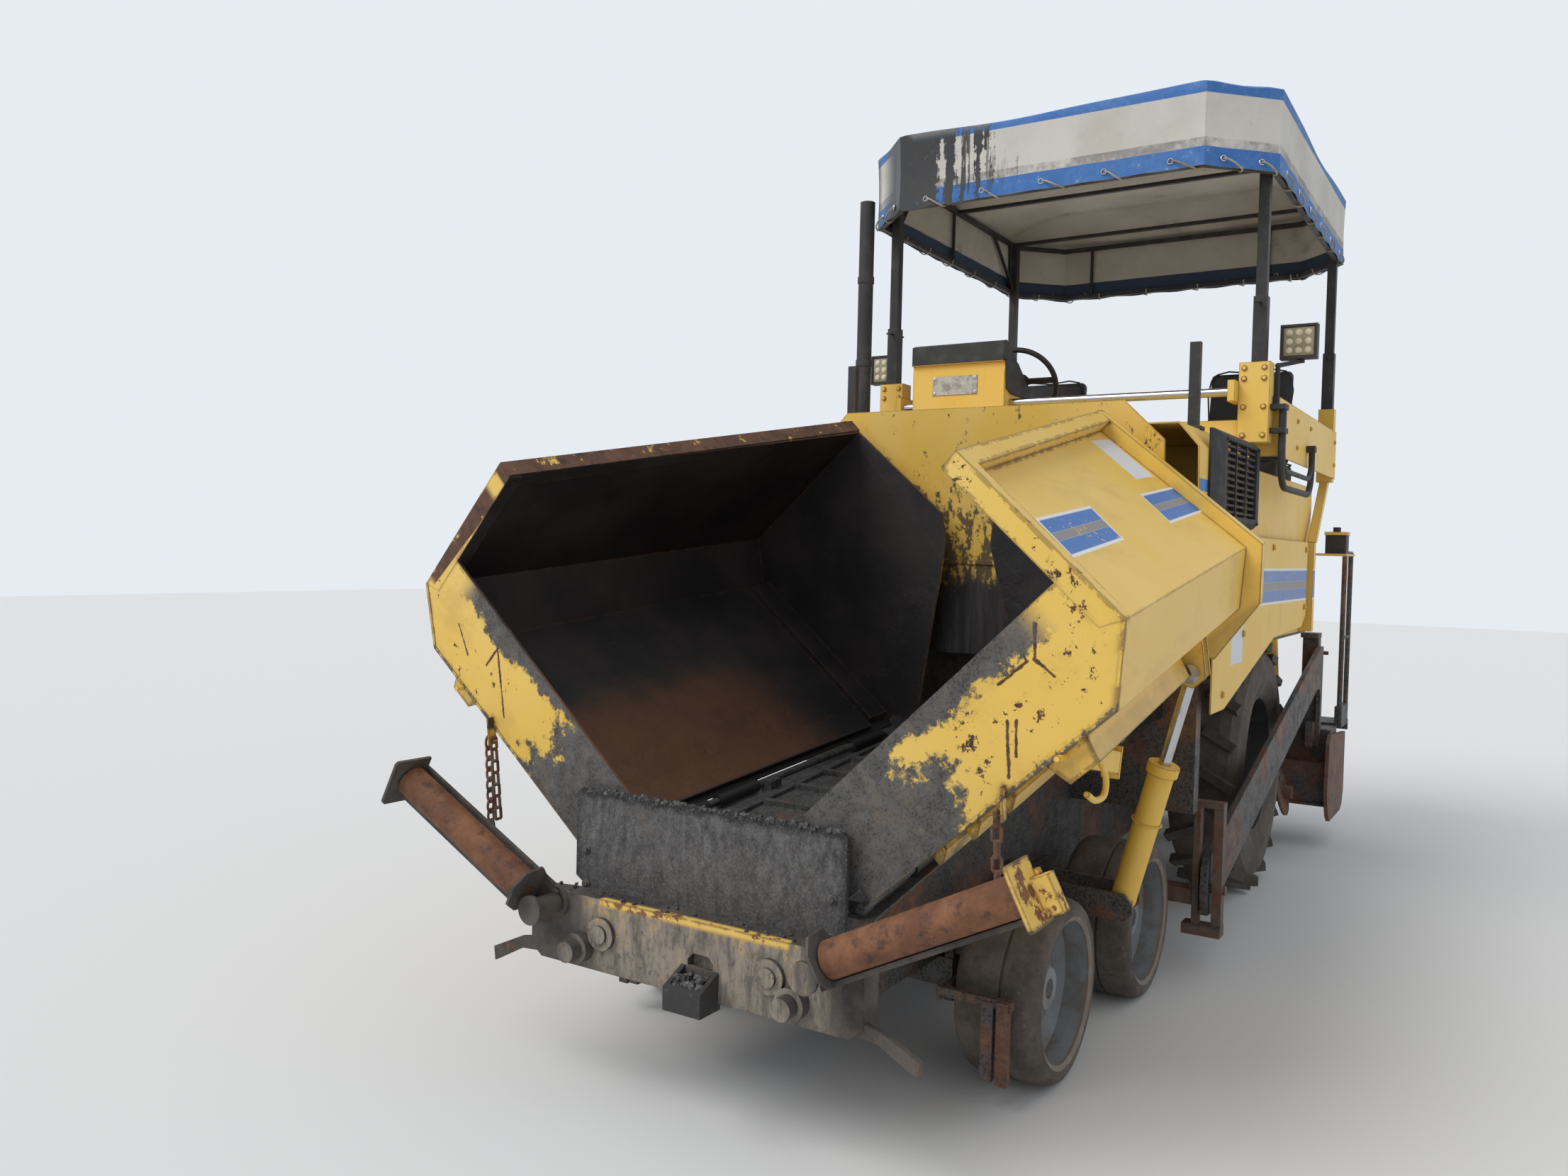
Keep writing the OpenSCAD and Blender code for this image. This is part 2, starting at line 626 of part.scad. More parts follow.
// Drive tyre with slanted lugs
module rear_tyre(side) color(rubber) placed() on_side(side) translate([0, rear_face_y, rear_tyre_r])
    rotate([90, 0, 0]) {
    body_r = rear_tyre_r - lug_h;
    rotate_extrude($fn = 60)
        polygon([
            [rear_rim_r, 30], [rear_rim_r + 70, 0], [body_r - 50, 12], [body_r - 12, 44],
            [body_r, 90], [body_r, rear_tyre_w - 90], [body_r - 12, rear_tyre_w - 44],
            [body_r - 50, rear_tyre_w - 12], [rear_rim_r + 70, rear_tyre_w],
            [rear_rim_r, rear_tyre_w - 30]
        ]);
    intersection() {
        for (i = [0:lug_count - 1], half = [0, 1])
            rotate((i + half / 2) * 360 / lug_count - 90)
                translate([body_r - 20, 0, rear_tyre_w * (half == 0 ? 0.27 : 0.73)])
                    rotate([half == 0 ? -28 : 28, 0, 0])
                    translate([0, -21, half == 0 ? -86 : -74]) cube([lug_h + 40, 42, 160]);
        cylinder(h = rear_tyre_w, r = rear_tyre_r, $fn = 120);
    }
}

// Rear rim
module rear_rim(side) color(steel) placed() on_side(side) translate([0, rear_face_y, rear_tyre_r])
    rotate([90, 0, 0]) {
    rotate_extrude($fn = 60)
        polygon([
            [rear_rim_r, 30], [rear_rim_r, rear_tyre_w - 30], [rear_rim_r - 16, rear_tyre_w - 30],
            [rear_rim_r - 16, 215], [160, 225], [150, 278], [70 + gap, 278], [70 + gap, 200], [140, 200],
            [rear_rim_r - 50, 195], [rear_rim_r - 22, 30]
        ]);
    for (i = [0:9]) rotate(i * 36) translate([205, 0, 180]) cylinder(h = 24, r = 17, $fn = 6);
}

// Engine block
module engine() color(steel) placed() block([860, -450, shelf_top + gap], [1440, 450, hood_top - 200]);

// Engine hood
grille_rear = 806;
grille_low = 1730;
grille_top = 2090;
hood_front = 1720;
hood_rear = 800;
hood_y = 862;
hood_low = shelf_top + gap;
function hood_outline(inset, low) = [
    [-hood_y + inset, low], [hood_y - inset, low], [hood_y - inset, 2010],
    [hood_y - 72 - inset / 2, hood_top - inset],
    [-hood_y + 72 + inset / 2, hood_top - inset], [-hood_y + inset, 2010]
];
module hood() color(yellow) placed()
    difference() {
        along_x(hood_rear, hood_front) polygon(hood_outline(0, hood_low));
        along_x(hood_rear + sheet_t, hood_front + 1) polygon(hood_outline(sheet_t, hood_low - 40));
        in_hopper() block([-rear_wall_s - 12 - gap, -1000, -400], [600, 1000, 2000]);
        for (side = [1, -1]) on_side(side)
            block([grille_rear + 64, hood_y - 12, grille_low + 50], [1390, hood_y + 8, grille_top - 40]);
    }

// Louvred grilles on both sides of the hood, their frames bevelled towards the front
grille_face = 896;
slat_rise = 25.5;
module grilles() color([0.2, 0.2, 0.2]) placed()
    for (side = [1, -1]) on_side(side) {
        difference() {
            translate([0, 0, grille_low]) linear_extrude(grille_top - grille_low)
                polygon([
                    [grille_rear, hood_y + gap], [grille_rear, grille_face], [1440, grille_face],
                    [1560, grille_face - 24], [1560, hood_y + gap]
                ]);
            block([860, hood_y - 1, grille_low + 40], [1400, grille_face + 4, grille_top - 30]);
            along_x(800, 1570) polygon([
                [grille_face - 22, grille_top + 1], [grille_face + 1, grille_top - 22],
                [grille_face + 1, grille_top + 1]
            ]);
            along_x(800, 1570) polygon([
                [grille_face - 22, grille_low - 1], [grille_face + 1, grille_low + 22],
                [grille_face + 1, grille_low - 1]
            ]);
        }
        for (i = [0:10])
            block([855, hood_y + 6, grille_low + 52 + i * slat_rise],
                [1405, grille_face - 8, grille_low + 62 + i * slat_rise]);
        for (x = [1033, 1213])
            block([x, hood_y + 4, grille_low + 35], [x + 14, grille_face - 4, grille_top - 25]);
    }

// Side panels with the skirt cut slantwise over the rear wheel
skirt_front = 1555;
skirt_rear = -440;
skirt_top = 1700;
module side_panels() color(yellow) placed()
    for (side = [1, -1]) on_side(side) {
        along_y(side_y - sheet_t, side_y)
            polygon([
                [skirt_front, 1020], [skirt_front, skirt_top], [skirt_rear, skirt_top],
                [skirt_rear, 1330], [skirt_rear + 110, 1270], [380, 1250], [1340, 1020]
            ]);
        for (x = [skirt_rear, skirt_front - 10])
            block([x, hood_y + gap, shelf_top], [x + 10, side_y - sheet_t, skirt_top - 10]);
        block([skirt_rear, hood_y + gap, skirt_top - 10], [skirt_front, side_y, skirt_top]);
        block([-700, hood_y, hood_low], [hood_rear - gap, hood_y + sheet_t, 1990]);
        block([-560, hood_y + sheet_t, hood_low], [-500, 920, skirt_top]);
    }

// Operator's platform
deck_rear = -850;
deck_front = 790;
seat_box_top = deck_z + 380;
module deck() color(yellow) placed() {
    block([deck_rear, -hood_y + gap, deck_z - 8], [deck_front, hood_y - gap, deck_z]);
    block([deck_rear, -hood_y + gap, shelf_top + gap], [deck_rear + 8, hood_y - gap, deck_z - 8]);
    block([deck_front - 8, -hood_y + gap, deck_z], [deck_front, hood_y - gap, hood_top]);
    for (side = [1, -1]) on_side(side) {
        block([-700, 300, deck_z], [-150, 820, seat_box_top]);
        for (y = [588, 682])
            block([lift_top[0] - 40, y, lift_top[1] - 40], [deck_rear, y + 10, lift_top[1] + 60]);
        pin_y(lift_top[0], lift_top[1], 588, 692, 12);
    }
    block([-1000, -700, 1400], [-848, 700, 1412]);
    block([-985, 780, 1612], [-845, 856, 1640]);
    block([-1300, 850, 1636], [-940, 1014, 1648]);
    block([box_rear - 5, box_y - 5, box_low + 100 + gap], [box_rear + 105, box_y + 110, box_low + 118]);
}
box_rear = -1070;
box_y = 904;
box_low = 1648 + gap;

// Bare panels between the posts, each with a slanted strut
sign_low = 2050;
sign_high = 2300;
module sign_panels() color(yellow) placed()
    for (side = [1, -1]) on_side(side) {
        block([-post_rear_x - 38, post_rear_y + 38, sign_low],
            [post_front_x - 60, post_rear_y + 44, sign_high]);
        block([post_front_x - 90, 800, sign_low], [post_front_x - 60, post_rear_y + 38, sign_high]);
        along_y(post_rear_y - 20, post_rear_y + 20)
            polygon([
                [-post_rear_x - 30, sign_low - 10], [-post_rear_x + 30, sign_low - 10],
                [-500, skirt_top + gap], [-560, skirt_top + gap]
            ]);
        difference() {
            block([-post_rear_x - 38, post_rear_y - 38, sign_low - 20],
                [-post_rear_x + 38, post_rear_y + 38, sign_high + 120]);
            block([-post_rear_x - tube_w / 2 - gap, post_rear_y - tube_w / 2 - gap, sign_low],
                [-post_rear_x + tube_w / 2 + gap, post_rear_y + tube_w / 2 + gap, sign_high + 121]);
        }
    }

// Seats
module seats() color(black) placed()
    for (side = [1, -1]) on_side(side) {
        block([-620, 330, seat_box_top + gap], [-140, 790, seat_box_top + 110]);
        translate([-612, 0, seat_box_top + 90]) rotate([0, -8, 0]) block([0, 345, 0], [90, 775, 520]);
    }

// Brackets of the front posts and the beam across the platform's front,
// with the open shelf under the console
shelf_rise = 132;
console_shelf = hood_top + shelf_rise;
rail_z = console_shelf + 80;
console_z = console_shelf + 8;
module post_brackets() color(yellow) placed() {
    block([740, -800, hood_top + gap], [792, 800, 2200]);
    difference() {
        block([788, -620, hood_top + gap], [930, 210, console_shelf]);
        block([800, -598, hood_top + 14], [931, 188, console_shelf - 14]);
    }
    along_x(788, 930)
        polygon([
            [205, console_shelf], [205, console_shelf - 14],
            [330, console_shelf - 102], [330, console_shelf - 88]
        ]);
    for (side = [1, -1]) on_side(side)
        difference() {
            block([post_front_x - 45, 800, hood_top + gap], [post_front_x + 45, 925, 2440]);
            block([post_front_x - tube_w / 2 - gap, post_front_y - tube_w / 2 - gap, hood_top + 50],
                [post_front_x + tube_w / 2 + gap, post_front_y + tube_w / 2 + gap, 2450]);
        }
    for (side = [1, -1]) on_side(side)
        block([post_front_x - 20, 770, rail_z - 42], [post_front_x + 115, 800, rail_z + 48]);
}

// Chrome rail of the sliding console
rail_x = 850;
rail_r = 19;
module console_rail() color(chrome) placed() pin_y(rail_x, rail_z, -770, 770, rail_r);

// Sliding console: the box on its rail, the dashboard's cover and cheek
console_y = -450;
console_half = 235;
wheel_at = [575, console_y + 180, console_z + 210];
wheel_tilt = 55;
column_r = 18;
column_len = 53;
module on_column() translate(wheel_at) rotate([0, -wheel_tilt, 0]) children();
module console() color(yellow) placed() translate([0, console_y, console_z]) {
    difference() {
        union() {
            along_y(-console_half, console_half)
                polygon([
                    [700, 0], [922, 0], [930, 10], [930, 256], [946, 256], [946, 346],
                    [908, 358], [606, 162], [606, 106], [700, 106]
                ]);
            along_y(console_half - weld, console_half + 7)
                polygon([[688, 112], [688, 200], [780, 266], [936, 266], [915, 132], [860, 112]]);
        }
        pin_y(rail_x, rail_z - console_z, -console_half - 5, console_half + 8, rail_r + 1);
    }
    block([930 - weld, -128, 112], [933, 100, 200]);
}

// Steering wheel on its column
module steering_wheel() color(black) placed() on_column() {
    rotate_extrude($fn = 48) translate([170, 0]) circle(r = 13, $fn = 16);
    for (a = [90, 210, 330]) rotate(a) translate([0, -14, -5]) cube([168, 28, 10]);
    cylinder(h = 20, r = 36, center = true);
    translate([0, 0, -column_len]) cylinder(h = column_len, r = column_r);
}

// Square work lamps on bent pipes, and the control box on its tray
module lamps() color(black) placed() {
    for (side = [1, -1]) on_side(side) {
        block([712, 925 + gap, 2240], [742, 936, 2300]);
        bar([720, 938, 2250], [720, 938, 2432], 10);
        translate([720, 938, 2432]) sphere(r = 12);
        bar([720, 938, 2432], [616, 1010, 2462], 10);
        difference() {
            block([588, 928, 2470], [640, 1077, 2618]);
            block([634, 938, 2480], [641, 1067, 2608]);
        }
        for (i = [0:3]) block([580, 938, 2490 + i * 32], [590, 1067, 2498 + i * 32]);
        block([600, 996, 2455], [628, 1024, 2472]);
    }
    block([box_rear, box_y, box_low], [box_rear + 100, box_y + 105, box_low + 100]);
    translate([box_rear + 50, box_y + 50, box_low + 118 + gap]) cylinder(h = 26, r = 20);
}

// Exhaust pipe up to the canopy's corner, and the stakes standing on the hood's corners
exhaust_at = [1030, -905];
module exhaust() color([0.3, 0.3, 0.3]) placed() {
    difference() {
        translate([exhaust_at[0], exhaust_at[1], 2100]) cylinder(h = 1190, r = 36);
        translate([exhaust_at[0], exhaust_at[1], 3190]) cylinder(h = 101, r = 32);
    }
    block([990, -900, hood_top + gap], [1070, -760, 2170]);
    for (z = [2500, 2900]) translate([exhaust_at[0], exhaust_at[1], z]) cylinder(h = 30, r = 40);
    for (side = [1, -1]) on_side(side) {
        block([1370, 740, hood_top + gap], [1400, 780, 2440]);
        block([1350, 725, hood_top + gap], [1420, 795, hood_top + 14]);
    }
}

// Part of a ring of pipe: radius of the bend, of the pipe, first angle and turn
module bend(r, pipe_r, from, sweep) rotate_extrude(angle = sweep, start = from)
    translate([r, 0]) circle(pipe_r);

// Hydraulic hoses clamped along the left post and under the sign panel
hose_y = 972;
hose_rise_r = 120;
hose_end = 2140;
module hoses() color(black) placed() {
    for (h = [[762, 2018, 104, 14], [734, 2072, 84, 11]]) {
        x = h[0];
        z = h[1];
        r = h[2];
        bar([x, hose_y, z], [x, hose_y, 2262], h[3]);
        translate([x - r, hose_y, z]) rotate([90, 0, 0]) bend(r, h[3], 270, 90);
        bar([x - r, hose_y, z - r], [hose_rise_r, hose_y, z - r], h[3]);
        translate([hose_rise_r, hose_y, z - r + hose_rise_r]) rotate([90, 0, 0])
            bend(hose_rise_r, h[3], 180, 90);
        bar([0, hose_y, z - r + hose_rise_r], [0, hose_y, hose_end], h[3]);
    }
    for (z = [hose_end, hose_end + 100]) {
        block([718, hose_y - 20, z], [790, hose_y + 16, z + 22]);
        block([752, 925 + gap, z], [790, hose_y - 10, z + 22]);
    }
    block([-24, 949 + gap, hose_end - 20], [24, hose_y + 16, hose_end + 10]);
}

// Outer tubes of the posts
tube_w = 56;
tube_top = 2720;
module post_tubes() color(black) placed()
    for (side = [1, -1]) on_side(side)
        for (p = [[post_front_x, post_front_y, hood_top + 50], [-post_rear_x, post_rear_y, sign_low]])
            difference() {
                block([p[0] - tube_w / 2, p[1] - tube_w / 2, p[2] + gap],
                    [p[0] + tube_w / 2, p[1] + tube_w / 2, tube_top]);
                block([p[0] - post_w / 2 - gap, p[1] - post_w / 2 - gap, p[2] + 10],
                    [p[0] + post_w / 2 + gap, p[1] + post_w / 2 + gap, tube_top + 1]);
            }

// Canopy frame: an outer ring at the valance's foot, an upper ring, struts and cross tubes
ring_w = 24;
ring_in = 14 + gap;
ring_low = canopy_z + 8;
ring_high = canopy_z + valance_h - 60;
brace_reach = 300;
brace_rise = ring_high - ring_low;
module canopy_ring(z)
    translate([0, 0, z]) linear_extrude(ring_w)
        difference() {
            polygon(canopy_outline(ring_in));
            polygon(canopy_outline(ring_in + ring_w));
        }
module canopy_frame() color(black) placed() {
    canopy_ring(ring_low);
    canopy_ring(ring_high);
    for (side = [1, -1]) on_side(side) {
        for (p = [[post_front_x, post_front_y], [-post_rear_x, post_rear_y]])
            block([p[0] - post_w / 2, p[1] - post_w / 2, tube_top - 80],
                [p[0] + post_w / 2, p[1] + post_w / 2, ring_high + 10]);
        for (x = [post_front_x - 25, 0, 25 - post_rear_x])
            bar([x, canopy_y - ring_in - ring_w / 2, ring_low + 4],
                [x, canopy_y - ring_in - ring_w / 2, ring_high + 8], 9);
        for (x = [canopy_front - ring_in - ring_w / 2, ring_in + ring_w / 2 - canopy_rear])
            bar([x, 520, ring_low + 4], [x, 520, ring_high + 8], 9);
        for (p = [[post_front_x, post_front_y, -brace_reach], [-post_rear_x, post_rear_y, brace_reach]])
            translate([p[0], p[1], ring_low + 8])
                rotate([0, 0, atan2(canopy_y - ring_in - ring_w / 2 - p[1], p[2])])
                translate([0, -8, 0]) along_y(0, 16)
                polygon([[0, 0], [10, -8], [brace_reach + 8, brace_rise], [brace_reach - 12, brace_rise]]);
    }
    for (x = [post_front_x, -45, -post_rear_x])
        block([x - 12, 20 - canopy_y, ring_high + 2], [x + 12, canopy_y - 20, ring_high + ring_w - 4]);
}

// Canopy: roof and valance
function canopy_outline(inset) = let (y = canopy_y - inset, f = canopy_front - inset,
    r = -canopy_rear + inset, c = canopy_cut - inset * 0.6)
    [[f, -y + c], [f, y - c], [f - c, y], [r + c, y], [r, y - c], [r, -y + c], [r + c, -y], [f - c, -y]];

module canopy_cloth() color([0.85, 0.83, 0.78]) placed()
    difference() {
        union() {
            translate([0, 0, canopy_z]) linear_extrude(valance_h) polygon(canopy_outline(0));
            hull() {
                translate([0, 0, canopy_z + valance_h - 1]) linear_extrude(1) polygon(canopy_outline(0));
                translate([0, 0, canopy_z + valance_h + roof_rise - 1]) linear_extrude(1)
                    polygon(canopy_outline(420));
            }
        }
        translate([0, 0, canopy_z - 1]) linear_extrude(valance_h - 12) polygon(canopy_outline(14));
        hull() {
            translate([0, 0, canopy_z + valance_h - 14]) linear_extrude(1) polygon(canopy_outline(14));
            translate([0, 0, canopy_z + valance_h + roof_rise - 14]) linear_extrude(1)
                polygon(canopy_outline(434));
        }
    }

// Tow points ahead of the rear wheels: each arm's front end is held between two upright guides
guide_x = 1380;
guide_y = 934;
guide_low = 150;
guide_top = 668;
tow_pin_r = 18;
module tow_points() color(rust) placed()
    for (side = [1, -1]) on_side(side) {
        block([1340, rail_y, 260], [1420, 830, 320]);
        for (y = [[824, 848], [898, guide_y]])
            block([guide_x, y[0], guide_low], [guide_x + 50, y[1], guide_top - 12]);
        block([guide_x - 4, 824, guide_top - 23], [guide_x + 54, guide_y, guide_top]);
        block([guide_x - 10, 790, guide_low], [guide_x + 60, guide_y, guide_low + 40]);
        pin_y(tow_x, tow_z, 810, guide_y + 10, tow_pin_r);
    }

// Tow arms that pull the screed, arched down to it behind the drive wheels
arch_rear = -1180;
arch_top = 1123;
arch_low = 560;
module tow_arms() color(steel) placed()
    for (side = [1, -1]) on_side(side)
        difference() {
            along_y(tow_face_y - 24, tow_face_y)
                polygon([
                    [1440, 232], [1470, 300], [1462, 420], [1430, 450], [-1080, arch_top],
                    [arch_rear, arch_top], [arch_rear, arch_low], [arch_rear + 52, arch_low],
                    [arch_rear + 52, 840], [-1112, 872], [-1080, 890], [-1010, 892], [-900, 863],
                    [1310, 244], [1380, 226]
                ]);
            pin_y(tow_x, tow_z, tow_face_y - 30, tow_face_y + 5, tow_pin_r + gap);
        }

// Screed
module screed_body() color(steel) placed() {
    block([-1500, -screed_y + 20, screed_z], [-1080, screed_y - 20, screed_z + 14]);
    difference() {
        block([-1480, -screed_y + 20, screed_z + 12], [-1100, screed_y - 20, screed_z + 240]);
        for (side = [1, -1]) on_side(side) side_bolts(screed_y - 70, screed_y, side_bolt_r + pocket_room);
    }
    block([-1420, -screed_y + 24, screed_z + 238], [-1185, screed_y - 24, screed_z + 420]);
    for (side = [1, -1]) on_side(side) {
        block([-1240, 780, screed_z + 415], [-1150, tow_face_y - 24, 1180]);
        block([-1256, 770, 1170], [-1134, tow_face_y - 24, 1196]);
        block([-1190, 822, 562], [-1064, tow_face_y - 24, 700]);
        translate([-1330, 830, screed_z + 415]) cylinder(h = 420, r = 17);
        translate([-1330, 830, screed_z + 700]) cylinder(h = 60, r = 34);
        bar([-1330, 770, screed_z + 846], [-1330, 890, screed_z + 846], 11);
        block([-1350, 800, screed_z + 560], [-1230, 860, screed_z + 590]);
    }
}

side_bolt_x = 300;
side_bolt_z = 120;
side_bolt_r = 9;
side_bolt_at = [-1300, 350];
// How much wider the screed body's pocket is than the bolt hole of the side plate
pocket_room = 4;
module side_bolts(from, to, radius = side_bolt_r)
    for (i = [-1, 1], k = [-1, 1])
        pin_y(side_bolt_at[0] + i * side_bolt_x / 2, side_bolt_at[1] + k * side_bolt_z / 2, from, to,
            radius);

// End plates of the screed, bolted to its body
module screed_sides() color(rust) placed()
    for (side = [1, -1]) on_side(side)
        difference() {
            along_y(screed_y - 20 + gap, screed_y)
                polygon([[-1560, 180], [-1600, 260], [-1600, 600], [-1060, 640], [-1000, 600],
                    [-980, 300], [-1040, 190], [-1100, 150], [-1500, 150]]);
            side_bolts(screed_y - 22, screed_y + 2);
        }

// Walkway behind the screed with a handrail at each end
handrail_front = -1440;
handrail_rear = -1680;
handrail_y = 944;
handrail_top = 1653;
module walkway() color(steel) placed() {
    block([-walkway_rear, -screed_y, 640], [-1425, screed_y, 664]);
    block([-walkway_rear, -screed_y, 600], [8 - walkway_rear, screed_y, 650]);
    for (side = [1, -1]) on_side(side) {
        block([-1600, 700, 400], [-1480.5, 740, 650]);
        for (x = [handrail_rear, handrail_front]) {
            bar([x, handrail_y, 655], [x, handrail_y, handrail_top], 14);
            translate([x, handrail_y, handrail_top]) sphere(r = 15);
        }
        bar([handrail_rear, handrail_y, handrail_top], [handrail_front, handrail_y, handrail_top], 14);
        bar([handrail_rear, handrail_y, 1160], [handrail_front, handrail_y, 1160], 10);
        block([-1692, 920, 655], [-1428, 958, 760]);
    }
}

// Screed lift cylinders at the back of the platform
module in_lift(side) on_side(side) translate([lift_top[0], 640, lift_top[1]])
    rotate([0, 180 - lift_turn, 0]) children();

module lift_barrels() color(yellow) placed()
    for (side = [1, -1]) in_lift(side)
        difference() {
            union() {
                cylinder(h = 380, r = 38);
                rotate([90, 0, 0]) translate([0, 0, -26]) cylinder(h = 52, r = 38);
            }
            rotate([90, 0, 0]) translate([0, 0, -42]) cylinder(h = 84, r = 12 + gap);
            translate([0, 0, 50]) cylinder(h = 400, r = 17 + gap);
        }

module lift_rods() color(chrome) placed()
    for (side = [1, -1]) in_lift(side) {
        translate([0, 0, 130]) cylinder(h = lift_len - 130, r = 17);
        rotate([90, 0, 0]) translate([0, lift_len, -22]) cylinder(h = 44, r = 30);
    }

// Auger: its flights drawn as leaning discs
flight_lean = 12;
module auger() color(steel) placed() {
    pin_y(-860, 330, -800, 800, 35);
    for (side = [1, -1], i = [0:7])
        on_side(side) translate([-860, 60 + i * 98, 330]) rotate([-90 + flight_lean, 0, 0])
            cylinder(h = 12, r = 130, center = true);
}

chassis();
front_apron();
push_beam();
push_arm(1);  // push_arm_left
push_arm(-1);  // push_arm_right
push_roller(1);  // push_roller_left
push_roller(-1);  // push_roller_right
hopper_floor();
hopper_rear_wall();
wing(1);  // wing_left
wing(-1);  // wing_right
wing_chain(1);  // wing_chain_left
wing_chain(-1);  // wing_chain_right
wing_barrel(1);  // wing_barrel_left
wing_barrel(-1);  // wing_barrel_right
wing_rod(1);  // wing_rod_left
wing_rod(-1);  // wing_rod_right
front_axles();
knuckle(far_axle_x, 1);  // knuckle_far_left
knuckle(far_axle_x, -1);  // knuckle_far_right
knuckle(near_axle_x, 1);  // knuckle_near_left
knuckle(near_axle_x, -1);  // knuckle_near_right
front_tyre(far_axle_x, 1);  // tyre_far_left
front_tyre(far_axle_x, -1);  // tyre_far_right
front_tyre(near_axle_x, 1);  // tyre_near_left
front_tyre(near_axle_x, -1);  // tyre_near_right
front_rim(far_axle_x, 1);  // rim_far_left
front_rim(far_axle_x, -1);  // rim_far_right
front_rim(near_axle_x, 1);  // rim_near_left
front_rim(near_axle_x, -1);  // rim_near_right
rear_axle();
rear_tyre(1);  // rear_tyre_left
rear_tyre(-1);  // rear_tyre_right
rear_rim(1);  // rear_rim_left
rear_rim(-1);  // rear_rim_right
engine();
hood();
grilles();
side_panels();
deck();
sign_panels();
seats();
post_brackets();
post_tubes();
console_rail();
console();
steering_wheel();
lamps();
exhaust();
hoses();
canopy_frame();
canopy_cloth();
tow_points();
tow_arms();
screed_body();
screed_sides();
walkway();
lift_barrels();
lift_rods();
auger();
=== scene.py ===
import json
import math
import random

import bpy
from mathutils import Matrix, Vector

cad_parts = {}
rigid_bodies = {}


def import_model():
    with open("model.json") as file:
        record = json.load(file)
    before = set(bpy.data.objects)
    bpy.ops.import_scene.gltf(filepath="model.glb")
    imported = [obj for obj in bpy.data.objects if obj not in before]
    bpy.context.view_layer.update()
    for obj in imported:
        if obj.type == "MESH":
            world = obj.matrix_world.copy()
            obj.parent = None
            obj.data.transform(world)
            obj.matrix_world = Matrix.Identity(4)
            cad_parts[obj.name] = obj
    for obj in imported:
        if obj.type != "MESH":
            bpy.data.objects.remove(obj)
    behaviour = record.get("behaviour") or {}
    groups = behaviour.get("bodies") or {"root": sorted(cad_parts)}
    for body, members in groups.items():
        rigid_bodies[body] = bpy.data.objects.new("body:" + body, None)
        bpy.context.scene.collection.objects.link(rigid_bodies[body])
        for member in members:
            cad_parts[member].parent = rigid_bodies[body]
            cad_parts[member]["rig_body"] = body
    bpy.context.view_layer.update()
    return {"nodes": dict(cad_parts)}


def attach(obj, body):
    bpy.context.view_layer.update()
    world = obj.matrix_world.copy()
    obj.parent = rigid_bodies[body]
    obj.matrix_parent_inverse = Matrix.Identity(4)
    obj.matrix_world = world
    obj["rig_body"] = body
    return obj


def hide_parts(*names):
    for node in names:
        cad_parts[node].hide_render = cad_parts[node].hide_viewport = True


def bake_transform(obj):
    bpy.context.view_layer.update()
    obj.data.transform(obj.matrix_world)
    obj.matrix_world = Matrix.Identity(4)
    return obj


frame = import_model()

print("frame loaded")
random.seed(7)
nodes = frame["nodes"]
bodyOf = {node: obj["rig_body"] for node, obj in nodes.items()}
sides = ((1, "left"), (-1, "right"))

# the machine's own measures, in metres, as the CAD source has them
machine = {
    "midX": 1.022, "hingeX": 3.455, "hingeZ": 0.666, "hingeY": 0.468, "hingeRise": 6, "hingeTurn": 3.4,
    "lowBend": (0.665, 0.582), "topBend": (0.685, 0.796), "panelTurn": 135.8, "panelLean": 4.5, "panelFront": 0.556,
    "canopyFront": 1.11, "canopyRear": 1.19, "canopyHalf": 0.95, "canopyCut": 0.25, "canopyLow": 3.2,
    "canopyMiddle": -0.04, "valance": 0.36, "roofRise": 0.09,
}


# a point told ahead of the rear axle, in the model's frame
def ahead(x, y, z):
    return Vector((x - machine["midX"], y, z))


# a point of a folded wing: along its hinge, outwards, and up square to the hopper floor
def wingPoint(side, along, out, height):
    turn, rise = math.radians(machine["hingeTurn"]), math.radians(machine["hingeRise"])
    back = along * math.cos(turn) - out * math.sin(turn)
    wide = along * math.sin(turn) + out * math.cos(turn)
    return ahead(machine["hingeX"] + back * math.cos(rise) + height * math.sin(rise),
        side * (wide + machine["hingeY"]),
        machine["hingeZ"] - back * math.sin(rise) + height * math.cos(rise))


# the three plates of a wing in its section: where each starts and which way it runs
def wingPlates():
    low, top = Vector(machine["lowBend"]), Vector(machine["topBend"])
    turn = math.radians(machine["panelTurn"] + machine["panelLean"])
    return {"bottom": (Vector((0, 0)), low.normalized()), "wall": (low, (top - low).normalized()),
        "panel": (top, Vector((math.cos(turn), math.sin(turn))))}


def linked(name, data):
    thing = bpy.data.objects.new(name, data)
    bpy.context.scene.collection.objects.link(thing)
    return thing


# camera at the photograph's place
view = {
    "place": (5.139, 1.942, 1.599), "heading": 32.575, "pitch": -1.837, "roll": 1.342,
    "focalPixels": 1686.24, "imageWidth": 2212, "sensor": 36,
}


def placeCamera():
    heading, pitch, roll = (math.radians(view[key]) for key in ("heading", "pitch", "roll"))
    forward = Vector((-math.cos(heading) * math.cos(pitch), -math.sin(heading) * math.cos(pitch), math.sin(pitch)))
    right = forward.cross(Vector((0, 0, 1))).normalized()
    up = right.cross(forward)
    turned = right * math.cos(roll) + up * math.sin(roll)
    up = up * math.cos(roll) - right * math.sin(roll)
    data = bpy.data.cameras.new("photoCamera")
    data.sensor_width = view["sensor"]
    data.lens = view["sensor"] * view["focalPixels"] / view["imageWidth"]
    data.clip_end = 200
    camera = linked("photoCamera", data)
    turn = Matrix((turned, up, -forward)).transposed().to_4x4()
    camera.matrix_world = Matrix.Translation(view["place"]) @ turn
    bpy.context.scene.camera = camera


placeCamera()


